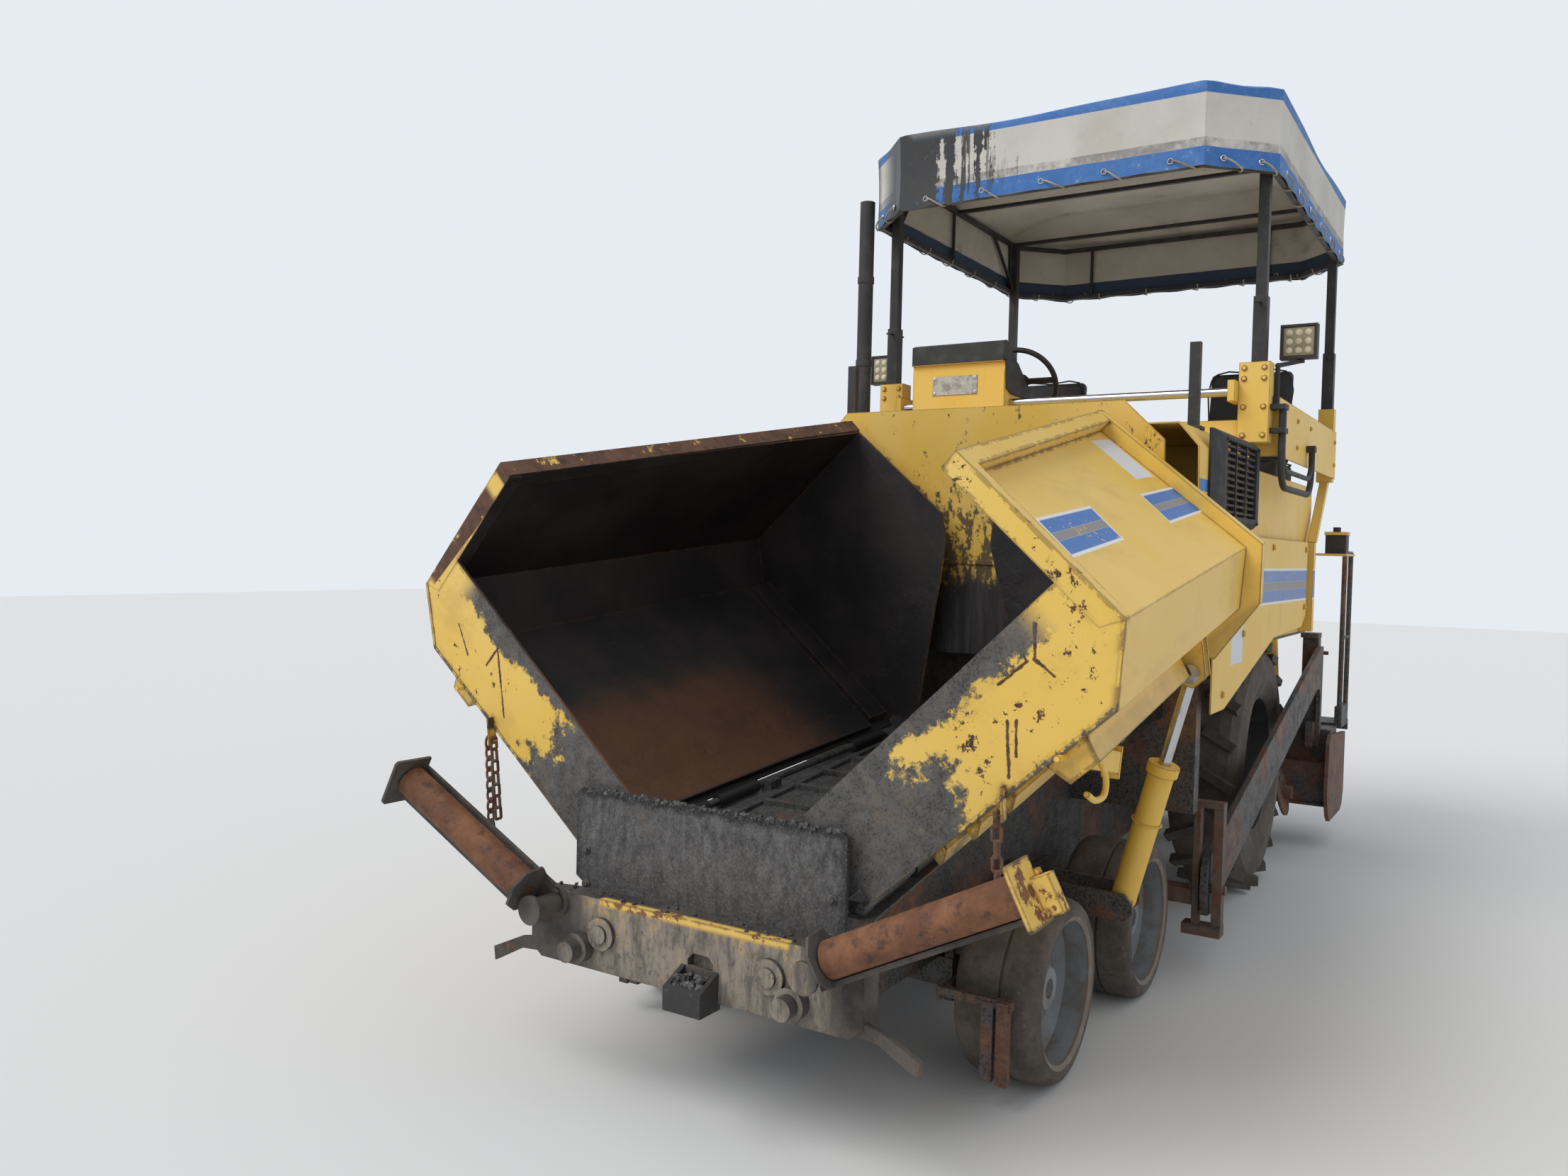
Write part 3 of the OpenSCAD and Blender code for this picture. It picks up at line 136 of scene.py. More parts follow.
# a socket that takes part in sums, so that shader maths reads as a formula
class Wire:
    def __init__(self, socket):
        self.socket = socket

    def maths(self, operation, *values):
        node = self.socket.id_data.nodes.new("ShaderNodeMath")
        node.operation = operation
        for place, value in zip(node.inputs, values):
            feed(place, value)
        return Wire(node.outputs[0])

    def __add__(self, other): return self.maths("ADD", self, other)
    def __radd__(self, other): return self.maths("ADD", other, self)
    def __sub__(self, other): return self.maths("SUBTRACT", self, other)
    def __rsub__(self, other): return self.maths("SUBTRACT", other, self)
    def __mul__(self, other): return self.maths("MULTIPLY", self, other)
    def __rmul__(self, other): return self.maths("MULTIPLY", other, self)
    def __abs__(self): return self.maths("ABSOLUTE", self)
    def __neg__(self): return self.maths("MULTIPLY", self, -1)
    def most(self, other): return self.maths("MAXIMUM", self, other)
    def least(self, other): return self.maths("MINIMUM", self, other)
    def power(self, other): return self.maths("POWER", self, other)


def feed(socket, value):
    if isinstance(value, Wire):
        socket.id_data.links.new(value.socket, socket)
    else:
        full = isinstance(value, tuple) and len(value) < len(socket.default_value)  # a colour without its alpha
        socket.default_value = (*value, 1) if full else value


# the strongest of several masks
def strongest(masks):
    whole = masks[0]
    for mask in masks[1:]:
        whole = whole.most(mask)
    return whole


# one material under construction
class Finish:
    def __init__(self, name, roughness=0.6, metallic=0.0):
        self.material = bpy.data.materials.new(name)
        self.material.use_nodes = True
        self.tree = self.material.node_tree
        self.shader = self.tree.nodes["Principled BSDF"]
        self.shader.inputs["Roughness"].default_value = roughness
        self.shader.inputs["Metallic"].default_value = metallic
        self.at = self.node("TexCoord", out="Object")
        self.x, self.y, self.z = self.parts(self.at)
        self.normal = self.node("TexCoord", out="Normal")
        self.faceX, self.faceY, self.faceZ = self.parts(self.normal)

    def node(self, kind, settings=None, values=None, out=0):
        made = self.tree.nodes.new("ShaderNode" + kind)
        for key, value in (settings or {}).items():
            setattr(made, key, value)
        for key, value in (values or {}).items():
            feed(made.inputs[key], value)
        return Wire(made.outputs[out])

    def parts(self, vector):
        made = self.node("SeparateXYZ", None, {0: vector}).socket.node
        return [Wire(output) for output in made.outputs]

    # place on the piece times a factor for each axis, which draws a noise out along the others
    def drawn(self, x, y, z):
        return self.node("CombineXYZ", None, {0: self.x * x, 1: self.y * y, 2: self.z * z})

    def noise(self, scale, detail=4, roughness=0.6, at=None):
        values = {"Vector": at or self.at, "Scale": scale, "Detail": detail, "Roughness": roughness}
        return self.node("TexNoise", None, values)

    def cells(self, scale):
        return self.node("TexVoronoi", None, {"Vector": self.at, "Scale": scale}, "Distance")

    def step(self, value, low, high):
        values = {"Value": value, "From Min": low, "From Max": high}
        return self.node("MapRange", {"interpolation_type": "SMOOTHSTEP"}, values)

    # 1 where a noise is above its two limits
    def spots(self, low, high, *noise):
        return self.step(self.noise(*noise), low, high)

    def between(self, value, low, high, soft=0.002):
        return self.step(value, low - soft, low + soft) * (1 - self.step(value, high - soft, high + soft))

    # the two blue edges of a striped tape and its middle
    def tape(self, value, low, high, edge, blue):
        inner, outer = (low + edge + blue, high - edge - blue), (low + edge, high - edge)
        middle = self.between(value, *inner)
        return self.between(value, outer[0], inner[0]) + self.between(value, inner[1], outer[1]), middle

    # 1 where a face looks towards a point
    def facing(self, point, soft=0.02):
        way = self.node("VectorMath", {"operation": "SUBTRACT"}, {0: tuple(point), 1: self.at})
        return self.step(self.dot(self.normal, way), 0, soft)

    def dot(self, one, other):
        return self.node("VectorMath", {"operation": "DOT_PRODUCT"}, {0: one, 1: other}, "Value")

    # 1 within a box in the model's frame
    def inBox(self, low, high, soft=0.002):
        within = self.between(self.x, low[0], high[0], soft) * self.between(self.y, low[1], high[1], soft)
        return within * self.between(self.z, low[2], high[2], soft)

    # distance from a scratch, a line between two points of a plane
    def fromLine(self, across, up, start, end):
        way = Vector(end) - Vector(start)
        share = ((across - start[0]) * way.x + (up - start[1]) * way.y) * (1 / way.length_squared)
        share = share.most(0).least(1)
        aside, over = across - start[0] - share * way.x, up - start[1] - share * way.y
        return (aside * aside + over * over).power(0.5)

    def mix(self, factor, below, above):
        return self.node("Mix", {"data_type": "RGBA"}, {0: factor, 6: below, 7: above}, 2)

    # a coat over the colour so far
    def lay(self, mask, tone):
        self.colour = self.mix(mask, self.colour, tone)

    def edges(self, radius=0.008, low=0.02, high=0.2):
        bent = self.node("Bevel", {"samples": 4}, {"Radius": radius})
        flat = self.node("NewGeometry", out="Normal")
        return self.step(1 - self.dot(bent, flat), low, high)

    # 1 in hollows and corners from ambient occlusion; the enamel, wing, rim and rear wall finishes lay painted shade
    # with it
    def corners(self, distance=0.08):
        settings = {"samples": 4, "only_local": True}
        return 1 - self.node("AmbientOcclusion", settings, {"Distance": distance}, "AO")

    def finish(self, roughness=None, height=None, depth=0.002, strength=0.6, round=0.0):
        feed(self.shader.inputs["Base Color"], self.colour)
        if roughness is not None:
            feed(self.shader.inputs["Roughness"], roughness)
        normal = self.node("Bevel", {"samples": 4}, {"Radius": round}) if round else None
        if height is not None:
            values = {"Height": height, "Distance": depth, "Strength": strength}
            if normal:
                values["Normal"] = normal
            normal = self.node("Bump", None, values)
        if normal:
            feed(self.shader.inputs["Normal"], normal)
        return self.material


paints = {
    "yellow": (0.8, 0.5, 0.075), "yellowPale": (0.84, 0.62, 0.2), "rust": (0.125, 0.046, 0.019),
    "rustPale": (0.235, 0.098, 0.042), "tar": (0.016, 0.015, 0.014), "crust": (0.085, 0.082, 0.078),
    "blue": (0.035, 0.16, 0.46), "white": (0.78, 0.78, 0.76), "black": (0.02, 0.02, 0.021),
}


# rust with a dark skin, used under every chip of paint
def rustColour(f, scale=9):
    blotch = f.noise(scale, 8, 0.7)
    tone = f.mix(f.step(blotch, 0.38, 0.66), paints["rust"], paints["rustPale"])
    return f.mix(f.spots(0.5, 0.68, scale * 3.1, 5, 0.7) * 0.75, tone, paints["tar"])


# sprayed enamel, faded and chipped: chips gather on edges, dirt and painted shade darken its corners
def enamel(name, chips=0.5, dirt=0.5, extra=None):
    f = Finish(name)
    fade = f.spots(0.35, 0.7, 1.7, 3, 0.5)
    f.colour = f.mix(fade * 0.45, paints["yellow"], paints["yellowPale"])
    grime = f.noise(5.5, 8, 0.68)
    runs = f.noise(3.0, 6, 0.7, f.drawn(7, 7, 0.8))
    # dark brown laid as painted shade in corners from ambient occlusion, together with real dirt runs and grime
    soiled = (f.step(f.corners(0.14), 0.25, 0.85) * 0.8 + f.step(runs, 0.56, 0.75) * 0.35
        + f.step(grime, 0.58, 0.74) * 0.3) * dirt
    f.lay(soiled.least(0.85), (0.1, 0.075, 0.048))
    rim = f.edges(0.007)
    small = f.noise(26, 6, 0.75)
    broad = f.noise(4.2, 7, 0.72)
    worn = f.step(small * 0.5 + broad * 0.5 + rim * 0.26, 0.665 - 0.05 * chips, 0.69 - 0.05 * chips)
    bare = rustColour(f)
    f.lay(worn, bare)
    roughness = 0.38 + 0.25 * grime + worn * 0.3
    height = (1 - worn) * 0.6 + f.noise(60, 3) * 0.05
    if extra:
        roughness = roughness + extra(f)
    return f.finish(roughness, height, 0.0012, 0.5, 0.004)


# colour of a plate that asphalt has rubbed: black film, brown rust low down, pale scuffs
def linerColour(f, brown):
    film = f.mix(f.spots(0.35, 0.7, 2.6, 6, 0.6), (0.012, 0.01, 0.01), (0.038, 0.03, 0.027))
    rubbed = f.step(f.noise(5, 8, 0.72) * 0.55 + brown * 0.75, 0.42, 0.95)
    film = f.mix(rubbed, film, f.mix(f.noise(9, 6, 0.7), (0.06, 0.026, 0.012), (0.2, 0.085, 0.034)))
    scuff = f.spots(0.63, 0.74, 3.2, 7, 0.75, f.drawn(1.2, 5, 5))
    film = f.mix(scuff * 0.35, film, (0.12, 0.115, 0.11))
    return f.mix(f.spots(0.66, 0.74, 70, 4, 0.7) * 0.5, film, (0.16, 0.14, 0.12))


# asphalt crust that has built up on a painted plate
def crustColour(f):
    grain = f.cells(120)
    colour = f.mix(f.spots(0.34, 0.68, 22, 8, 0.75), (0.03, 0.028, 0.027), (0.115, 0.105, 0.096))
    colour = f.mix(f.spots(0.5, 0.72, 7, 6, 0.7) * 0.6, colour, (0.17, 0.125, 0.078))
    return f.mix(f.step(grain, 0.2, 0.55) * 0.28, colour, (0.2, 0.195, 0.185))


# stripes and blank sticker of a wing's upper panel, scratches of its front wall, all in its own measures
wingMarks = {
    "stripeUp": (0.195, 0.335), "stripeSlant": 0.36, "front": (-0.605, -0.105), "rear": (-1.79, -1.215),
    "whiteEdge": 0.01, "blueWidth": 0.046, "sticker": ((-1.7, -1.44), (0.4, 0.61)),
    "crustEnd": 0.385, "crustEdge": 0.245,
    "scratchesLeft": [
        ((0.81, 0.296), (0.792, 0.217)), ((0.867, 0.272), (0.815, 0.213)), ((0.792, 0.217), (0.7, 0.218)),
        ((0.811, 0.212), (0.821, 0.151)), ((0.676, 0.126), (0.62, 0.063)), ((0.658, 0.139), (0.57, 0.034))],
    "scratchesRight": [
        ((0.717, 0.278), (0.51, 0.063)), ((0.655, 0.292), (0.669, 0.139)), ((0.648, 0.267), (0.579, 0.313)),
        ((0.842, 0.154), (0.752, 0.104))],
}


def wingPaint(name, side):
    f = Finish(name)
    marks, plates = wingMarks, wingPlates()
    rise, turn = math.radians(machine["hingeRise"]), math.radians(machine["hingeTurn"])
    forward, lifted = f.x + (machine["midX"] - machine["hingeX"]), f.z - machine["hingeZ"]
    back = forward * math.cos(rise) - lifted * math.sin(rise)
    height = forward * math.sin(rise) + lifted * math.cos(rise)
    wide = f.y * side - machine["hingeY"]
    along = back * math.cos(turn) + wide * math.sin(turn)
    out = wide * math.cos(turn) - back * math.sin(turn)
    run, deep = {}, {}
    for key, (start, way) in plates.items():
        aside, over = out - start.x, height - start.y
        run[key] = aside * way.x + over * way.y
        deep[key] = over * way.x - aside * way.y
    up = run["panel"]
    within = f.step(deep["bottom"].least(deep["wall"]).least(deep["panel"]), 0.003, 0.006)
    inside = f.facing(wingPoint(side, -0.9, -0.05, 0.75)) * within
    onFront = f.step(along, -0.02, -0.012) * f.step(deep["bottom"], -0.001, 0.003)
    # paint with broad fading, smudges and runs, and painted shade in its corners
    broad, fine, small = f.noise(3.4, 7, 0.7), f.noise(24, 6, 0.75), f.noise(60, 4, 0.7)
    f.colour = f.mix(f.spots(0.3, 0.7, 1.3, 3, 0.5) * 0.55, paints["yellow"], paints["yellowPale"])
    smudge = f.spots(0.5, 0.75, 2.2, 6, 0.65, f.drawn(0.8, 2, 3))
    f.lay(smudge * 0.35, (0.46, 0.27, 0.06))
    # dark brown laid in patches: painted shade in corners from ambient occlusion and darker below the bottom plate,
    # together with dirt
    dirtAndShade = f.step(f.corners(0.1), 0.3, 0.9) * 0.65 + f.step(-deep["bottom"], 0.006, 0.03) * 0.35
    f.lay((dirtAndShade * f.step(broad, 0.3, 0.6)).least(0.8), (0.16, 0.105, 0.045))
    # stripes in two lengths, nothing between them
    panelOut = f.step(deep["panel"], -0.004, -0.001) * (1 - within) * f.step(up, 0.02, 0.03)
    slid = along + (up - marks["stripeUp"][0]) * marks["stripeSlant"]
    lengths = f.between(slid, *marks["front"]) + f.between(slid, *marks["rear"])
    low, high = marks["stripeUp"]
    edge, blue = marks["whiteEdge"], marks["blueWidth"]
    striped = lengths * f.between(up, low, high) * panelOut
    blues, greyBand = f.tape(up, low, high, edge, blue)
    ends = f.between(slid, marks["front"][0] + edge, marks["front"][1] - edge)
    ends = ends + f.between(slid, marks["rear"][0], marks["rear"][1] - edge)
    tape = f.mix(greyBand * ends, f.mix(blues * ends, paints["white"], paints["blue"]), (0.235, 0.225, 0.225))
    f.lay(striped * (1 - f.step(small * 0.6 + broad * 0.4, 0.6, 0.63)), tape)
    (left, right), (foot, head) = marks["sticker"]
    card = panelOut * f.between(along + (up - foot) * 0.12, left, right) * f.between(up, foot, head)
    f.lay(card * (1 - f.step(fine, 0.64, 0.67)), f.mix(f.noise(8, 5) * 0.5, (0.72, 0.74, 0.76), (0.56, 0.6, 0.64)))
    # crust on the front wall, thick at its foot and along its inner edge
    u, w = run["bottom"], deep["bottom"]
    foot = f.step((marks["crustEnd"] - u) * 2.4 + (broad - 0.5) * 1.7 + (fine - 0.5) * 0.7, -0.03, 0.09)
    inner = f.step((w - marks["crustEdge"]) * 9 + (broad - 0.5) * 1.6 + (fine - 0.5) * 1.2, -0.02, 0.12)
    outer = f.step((0.012 - w) * 30 + (fine - 0.5) * 2.2, 0.0, 0.2)
    crust = foot.most(inner * f.step(0.92 - u, 0, 0.1)).most(outer) * onFront
    under = f.step((0.3 - u) * 3 + (broad - 0.5) * 2.2, 0, 0.3) * (1 - onFront)
    # chips, scratches and bare edges
    scratches = marks["scratchesLeft" if side > 0 else "scratchesRight"]
    gaps = [f.fromLine(u, w, start, end) + (fine - 0.5) * 0.02 for start, end in scratches]
    lines = strongest([1 - f.step(gap, 0.0022, 0.0052) for gap in gaps])
    speckle = f.step(fine * 0.55 + broad * 0.35 + small * 0.18, 0.622, 0.637) * onFront
    rim = f.edges(0.012)
    chips = f.step(fine * 0.5 + broad * 0.5 + rim * 0.24, 0.645, 0.665)
    top = f.step(up, machine["panelFront"] - 0.05, machine["panelFront"]) * f.step(deep["panel"], 0.0, 0.02)
    turned = f.step(f.facing(wingPoint(side, -0.9, -0.6, 0.9)), 0.2, 0.8)
    ragged = f.step(fine * 0.6 + broad * 0.5 + turned * 0.12, 0.56, 0.6)
    lipPlace = up + along * 0.09 - machine["panelFront"]
    lip = f.edges(0.022, 0.004, 0.05) * f.step(lipPlace, -0.09, -0.06)
    nose = f.edges(0.022, 0.004, 0.05) * f.step(along, -0.07, -0.03)
    eaten = lip.most(nose) * f.step(f.noise(16, 7, 0.75) * 0.7 + fine * 0.3, 0.49, 0.52)
    bare = strongest([chips, speckle, lines * onFront, ragged * top * (1 - within) * 0.9, eaten])
    bare = bare * (1 - striped * 0.5)
    if side < 0:
        endEdge = f.step(along, -0.055, -0.04) * f.between(up, 0.035, 0.455, 0.015)
        endEdge = endEdge * (1 - f.step(abs(deep["panel"]), 0.028, 0.034))
        framed = f.step(lipPlace, -0.045, -0.03).most(endEdge)
        bare = bare.most(framed * f.spots(0.36, 0.42, 13, 7, 0.75))
    f.lay(bare, f.mix(0.45, rustColour(f, 8), (0.035, 0.022, 0.016)))
    f.lay(crust.most(under * 0.85), crustColour(f))
    # the hopper side of the plates
    brown = f.step(0.7 - run["bottom"], 0.0, 0.36) * f.step(along, -1.7, -0.9)
    worn = f.mix(f.step(rim, 0.15, 0.5) * f.step(fine, 0.42, 0.6), linerColour(f, brown), rustColour(f, 8))
    f.lay(inside, worn)
    f.lay(1 - f.step(run["bottom"].most(abs(deep["bottom"])), 0.035, 0.05), (0.026, 0.023, 0.021))
    rough = 0.36 + broad * 0.16 + bare * 0.3 + crust * 0.38
    rough = rough * (1 - inside) + inside * (0.42 + broad * 0.4)
    relief = (1 - bare) * 0.25 + (crust + under) * (0.4 + f.noise(40, 6, 0.75) * 1.3)
    return f.finish(rough, relief + inside * f.noise(9, 8, 0.7) * 0.7, 0.0035, 0.6, 0.004)


# asphalt that has caked on steel
def caked(name, rusty=0.35, base=None, rough=0.8):
    f = Finish(name)
    grain = f.cells(95)
    lumps = f.noise(14, 9, 0.75)
    f.colour = f.mix(f.step(lumps, 0.36, 0.66), paints["tar"], base or paints["crust"])
    f.lay(f.step(grain, 0.25, 0.6) * 0.35, (0.17, 0.165, 0.155))
    stain = f.spots(0.6 - 0.25 * rusty, 0.74 - 0.2 * rusty, 3.3, 8, 0.7)
    f.lay(stain * 0.85, rustColour(f, 12))
    return f.finish(rough - 0.25 * f.step(lumps, 0.3, 0.6), lumps * 0.7 + grain * 0.3, 0.004, 0.7, 0.003)


def rusty(name, tarred, greyed=0.0):
    f = Finish(name)
    f.colour = f.mix(f.spots(0.35, 0.62, 10, 7, 0.7) * greyed, rustColour(f, 7), (0.125, 0.105, 0.09))
    streaks = f.noise(2.5, 7, 0.7, f.drawn(5, 1.2, 5))
    f.lay(f.step(streaks, 0.62 - 0.2 * tarred, 0.8 - 0.2 * tarred) * 0.8, paints["tar"])
    return f.finish(0.75, f.noise(55, 6, 0.7), 0.002, 0.5, 0.003)


def rubber(name, dusty=0.7):
    f = Finish(name)
    dust = f.step(f.noise(7, 8, 0.72) + f.corners(0.05) * 0.25, 0.34, 0.66)
    f.colour = f.mix((dust * 0.6 + 0.4) * dusty, (0.024, 0.022, 0.02), (0.175, 0.143, 0.112))
    f.lay(f.spots(0.54, 0.68, 34, 6, 0.75) * 0.4, (0.034, 0.03, 0.027))
    f.lay(f.spots(0.62, 0.72, 75, 4, 0.75) * 0.6, (0.3, 0.27, 0.23))
    chunks = f.step(f.cells(34), 0.05, 0.32) * 0.4
    return f.finish(0.88, f.noise(60, 6, 0.75) + chunks, 0.003, 0.6, 0.004)


def greyRim(name):
    f = Finish(name)
    f.colour = f.mix(f.spots(0.3, 0.7, 4, 5) * 0.5, (0.2, 0.225, 0.245), (0.3, 0.305, 0.3))
    # brown laid as dirt and as painted shade in corners from ambient occlusion
    dirtAndShade = f.step(f.noise(9, 8, 0.72) + f.corners(0.08) * 0.4, 0.46, 0.68)
    f.lay(dirtAndShade * 0.78, (0.15, 0.125, 0.1))
    lip = f.step(abs(f.y), 0.745, 0.757)
    f.lay(lip * f.spots(0.3, 0.5, 30, 6), (0.2, 0.16, 0.125))
    f.lay(f.edges(0.006) * f.spots(0.4, 0.6, 30, 4), rustColour(f))
    return f.finish(0.62, dirtAndShade, 0.001, 0.4, 0.003)


def brightRod(name):
    f = Finish(name, 0.18, 1.0)
    smear = f.spots(0.5, 0.75, 14, 6, 0.7)
    f.colour = f.mix(smear * 0.4, (0.52, 0.53, 0.55), (0.22, 0.2, 0.18))
    return f.finish(0.14 + smear * 0.4)


def blackPaint(name, shine=0.45):
    f = Finish(name)
    f.colour = f.mix(f.spots(0.45, 0.75, 8, 7, 0.7) * 0.5, paints["black"], (0.1, 0.09, 0.08))
    bare = f.edges(0.006) * f.spots(0.45, 0.62, 22, 5, 0.7)
    f.lay(bare, rustColour(f))
    return f.finish(shine + 0.3 * f.noise(12, 5), f.noise(70, 3), 0.0008, 0.3, 0.003)


def plainGrey(name, base):
    f = Finish(name)
    f.colour = f.mix(f.spots(0.4, 0.7, 6, 7, 0.7) * 0.6, base, paints["rust"])
    return f.finish(0.7, f.noise(40, 5, 0.7), 0.001, 0.4, 0.003)


# front plate: grey crust drawn down in streaks
def apronPaint(name):
    f = Finish(name)
    streaks = f.noise(1.0, 9, 0.75, f.drawn(10, 30, 13))
    blotch, fine = f.noise(6, 8, 0.7), f.noise(150, 6, 0.85)
    low = f.step(0.7 - f.z + (blotch - 0.5) * 0.3, -0.06, 0.08)
    f.colour = f.mix(f.step(streaks * 0.7 + blotch * 0.3, 0.36, 0.62), (0.05, 0.046, 0.044), (0.18, 0.172, 0.165))
    f.lay(f.step(blotch, 0.46, 0.66).most(low * 0.8) * 0.6, (0.046, 0.041, 0.038))
    f.lay(f.step(blotch * 0.5 + streaks * 0.5, 0.57, 0.66) * 0.5, (0.16, 0.115, 0.075))
    topEdge = f.step(f.z + (f.noise(14, 6) - 0.5) * 0.06, 0.845, 0.87)
    sides = f.step(abs(f.y) + (f.noise(9, 5) - 0.5) * 0.05, 0.425, 0.455)
    f.lay(topEdge.most(sides * 0.7), (0.026, 0.025, 0.025))
    f.lay(f.step(fine, 0.52, 0.62) * 0.55, (0.26, 0.255, 0.245))
    f.lay(f.step(1 - fine, 0.52, 0.62) * 0.6, (0.035, 0.033, 0.032))
    return f.finish(0.85, streaks * 0.5 + fine * 0.9 + f.cells(90) * 0.5, 0.005, 0.9, 0.004)


# push beam and arms: crust over old yellow, which shows where the machine rubs
def beamPaint(name, rubbed, worn=(9, 10)):
    f = Finish(name)
    broad, fine = f.noise(5, 8, 0.72), f.noise(55, 5, 0.75)
    f.colour = f.mix(f.step(broad, 0.35, 0.65), (0.035, 0.031, 0.028), (0.105, 0.088, 0.072))
    f.lay(f.spots(0.58, 0.72, 9, 7, 0.7) * 0.5, rustColour(f, 11))
    drips = f.noise(1, 8, 0.75, f.drawn(6, 24, 7))
    scoured = f.between(f.y, *worn, 0.05) * f.step(f.faceX, 0.5, 0.7)
    tan = f.mix(f.step(drips, 0.34, 0.6), (0.115, 0.095, 0.078), (0.31, 0.26, 0.205))
    gold = f.step(drips * 0.5 + fine * 0.5 + f.step(f.z, 0.4, 0.6) * 0.07, 0.585, 0.63)
    tan = f.mix(gold * 0.8, tan, (0.52, 0.34, 0.1))
    tan = f.mix(f.step(fine * 0.6 + broad * 0.4, 0.53, 0.6) * 0.75, tan, (0.05, 0.045, 0.042))
    scoop = f.step(f.x, 2.5695, 2.5705) * f.between(f.y, -0.012, 0.132) * (1 - f.step(f.z, 0.5, 0.52))
    f.lay(scoured * (0.4 + f.step(f.z, 0.34, 0.46) * 0.5) * (1 - scoop), tan)
    f.lay(scoop, (0.03, 0.028, 0.027))
    yellow = strongest([f.inBox(low, high, 0.008) for low, high in rubbed])
    f.lay(yellow, rustColour(f, 10))
    kept = yellow * (1 - f.step(f.noise(20, 7, 0.75) * 0.6 + broad * 0.4 + f.edges(0.012) * 0.12, 0.535, 0.555))
    f.lay(kept, f.mix(f.noise(20, 5) * 0.6, (0.8, 0.54, 0.13), (0.56, 0.36, 0.07)))
    f.lay(f.step(fine, 0.58, 0.72) * 0.4, (0.17, 0.16, 0.15))
    return f.finish(0.78, broad * 0.5 + fine * 0.6, 0.003, 0.7, 0.004)


# fixed rear wall of the hopper: speckled paint above, rubbed black below, black painted shade in its corners
def rearWallPaint(name):
    f = Finish(name)
    broad, fine = f.noise(4.5, 8, 0.72), f.noise(38, 6, 0.75)
    paint = f.mix(f.noise(2, 4) * 0.5, paints["yellow"], (0.62, 0.4, 0.07))
    drips = f.noise(1, 7, 0.75, f.drawn(20, 20, 7))
    paint = f.mix(f.spots(0.4, 0.7, 3, 5) * 0.4, paint, (0.84, 0.6, 0.22))
    specks = f.step(drips * 0.6 + fine * 0.35 + f.step(2.05 - f.z, 0.0, 0.5) * 0.1, 0.535, 0.575)
    paint = f.mix(specks * 0.9, paint, (0.05, 0.036, 0.026))
    worn = f.step(fine * 0.5 + broad * 0.4 + f.edges(0.008) * 0.2, 0.565, 0.6)
    paint = f.mix(worn * 0.9, paint, rustColour(f, 12))
    streaks = f.noise(1, 7, 0.7, f.drawn(1, 22, 1.6))
    black = f.mix(f.step(streaks, 0.4, 0.7), (0.012, 0.011, 0.011), (0.06, 0.052, 0.048))
    fill = f.step(1.5 - f.z + (broad - 0.5) * 0.5 + (streaks - 0.5) * 0.25, -0.05, 0.05) * f.step(f.x, 0.5, 0.56)
    # black below the fill line, and black painted shade in corners from ambient occlusion
    f.colour = f.mix(fill.most(f.step(f.corners(0.2), 0.4, 0.9) * 0.7), paint, black)
    return f.finish(0.45 + broad * 0.35, fine * 0.4 + streaks * 0.4, 0.002, 0.5, 0.003)


bodyMarks = {
    "stripe": (-0.7, 1.5, 1.405, 1.565), "whiteEdge": 0.01, "blueWidth": 0.052,
    "sticker": (1.04, 1.25, 1.185, 1.335), "hoodPatch": (1.5, 1.73, 1.85, 1.895),
}


# the body's sheet metal, with the lower stripes, a blank sticker and a blue patch on the hood
def bodyPaint(name):
    marks, shift = bodyMarks, machine["midX"]
    edge, blue = marks["whiteEdge"], marks["blueWidth"]

    def decorate(f):
        flank = f.step(abs(f.faceY), 0.9, 0.95)
        outer = flank * f.step(abs(f.y), 0.893, 0.897)

        def patch(key):
            rear, front, low, high = marks[key]
            return f.between(f.x, rear - shift, front - shift) * f.between(f.z, low, high)

        low, high = marks["stripe"][2:]
        blues, middle = f.tape(f.z, low, high, edge, blue)
        tape = f.mix(middle, f.mix(blues, paints["white"], (0.15, 0.235, 0.47)), (0.265, 0.245, 0.24))
        f.lay(patch("stripe") * outer * (1 - f.spots(0.61, 0.66, 30, 5, 0.75)), tape)
        f.lay(patch("sticker") * outer, f.mix(f.noise(9, 4) * 0.4, (0.7, 0.73, 0.74), (0.5, 0.54, 0.55)))
        f.lay(patch("hoodPatch") * flank, paints["blue"])
        return 0

    return enamel(name, 0.25, 0.55, decorate)


consoleMarks = {
    "plateFace": -0.0912, "plateY": (-0.58, -0.35), "plateZ": (2.35, 2.442), "coverStart": (-0.416, 2.402),
    "coverEnd": (-0.114, 2.598),
}


# sliding console: yellow box, bare plate on its front, black dashboard cover and cheek
def consolePaint(name):
    marks = consoleMarks

    def decorate(f):
        (startX, startZ), (endX, endZ) = marks["coverStart"], marks["coverEnd"]
        slope = (endZ - startZ) / (endX - startX)
        cover = f.step(f.z - (startZ + (f.x - startX) * slope) + 0.1, 0.0, 0.004).most(f.step(f.z, 2.496, 2.499))
        cover = cover * f.step(-f.x, 0.09, 0.0935)
        cover = strongest([cover, f.step(f.z, 2.497, 2.5), f.step(f.y, -0.2135, -0.212)])
        f.lay(cover, f.mix(f.spots(0.45, 0.7, 12, 6, 0.7) * 0.5, (0.018, 0.019, 0.018), (0.07, 0.068, 0.06)))
        plate = f.step(f.x, marks["plateFace"] - 0.0008, marks["plateFace"] - 0.0002)
        plate = plate * f.between(f.y, *marks["plateY"]) * f.between(f.z, *marks["plateZ"])
        sheet = f.mix(f.spots(0.42, 0.66, 16, 7, 0.7) * 0.8, (0.5, 0.49, 0.46), (0.2, 0.15, 0.1))
        f.lay(plate, f.mix(f.spots(0.56, 0.66, 60, 5) * 0.5, sheet, (0.66, 0.66, 0.64)))
        return cover * 0.1

    return enamel(name, 0.2, 0.4, decorate)


canopyMarks = {"hem": 0.01, "blueLow": 0.088, "soiled": 0.125, "blueTop": 0.304, "tarEnd": -0.24}
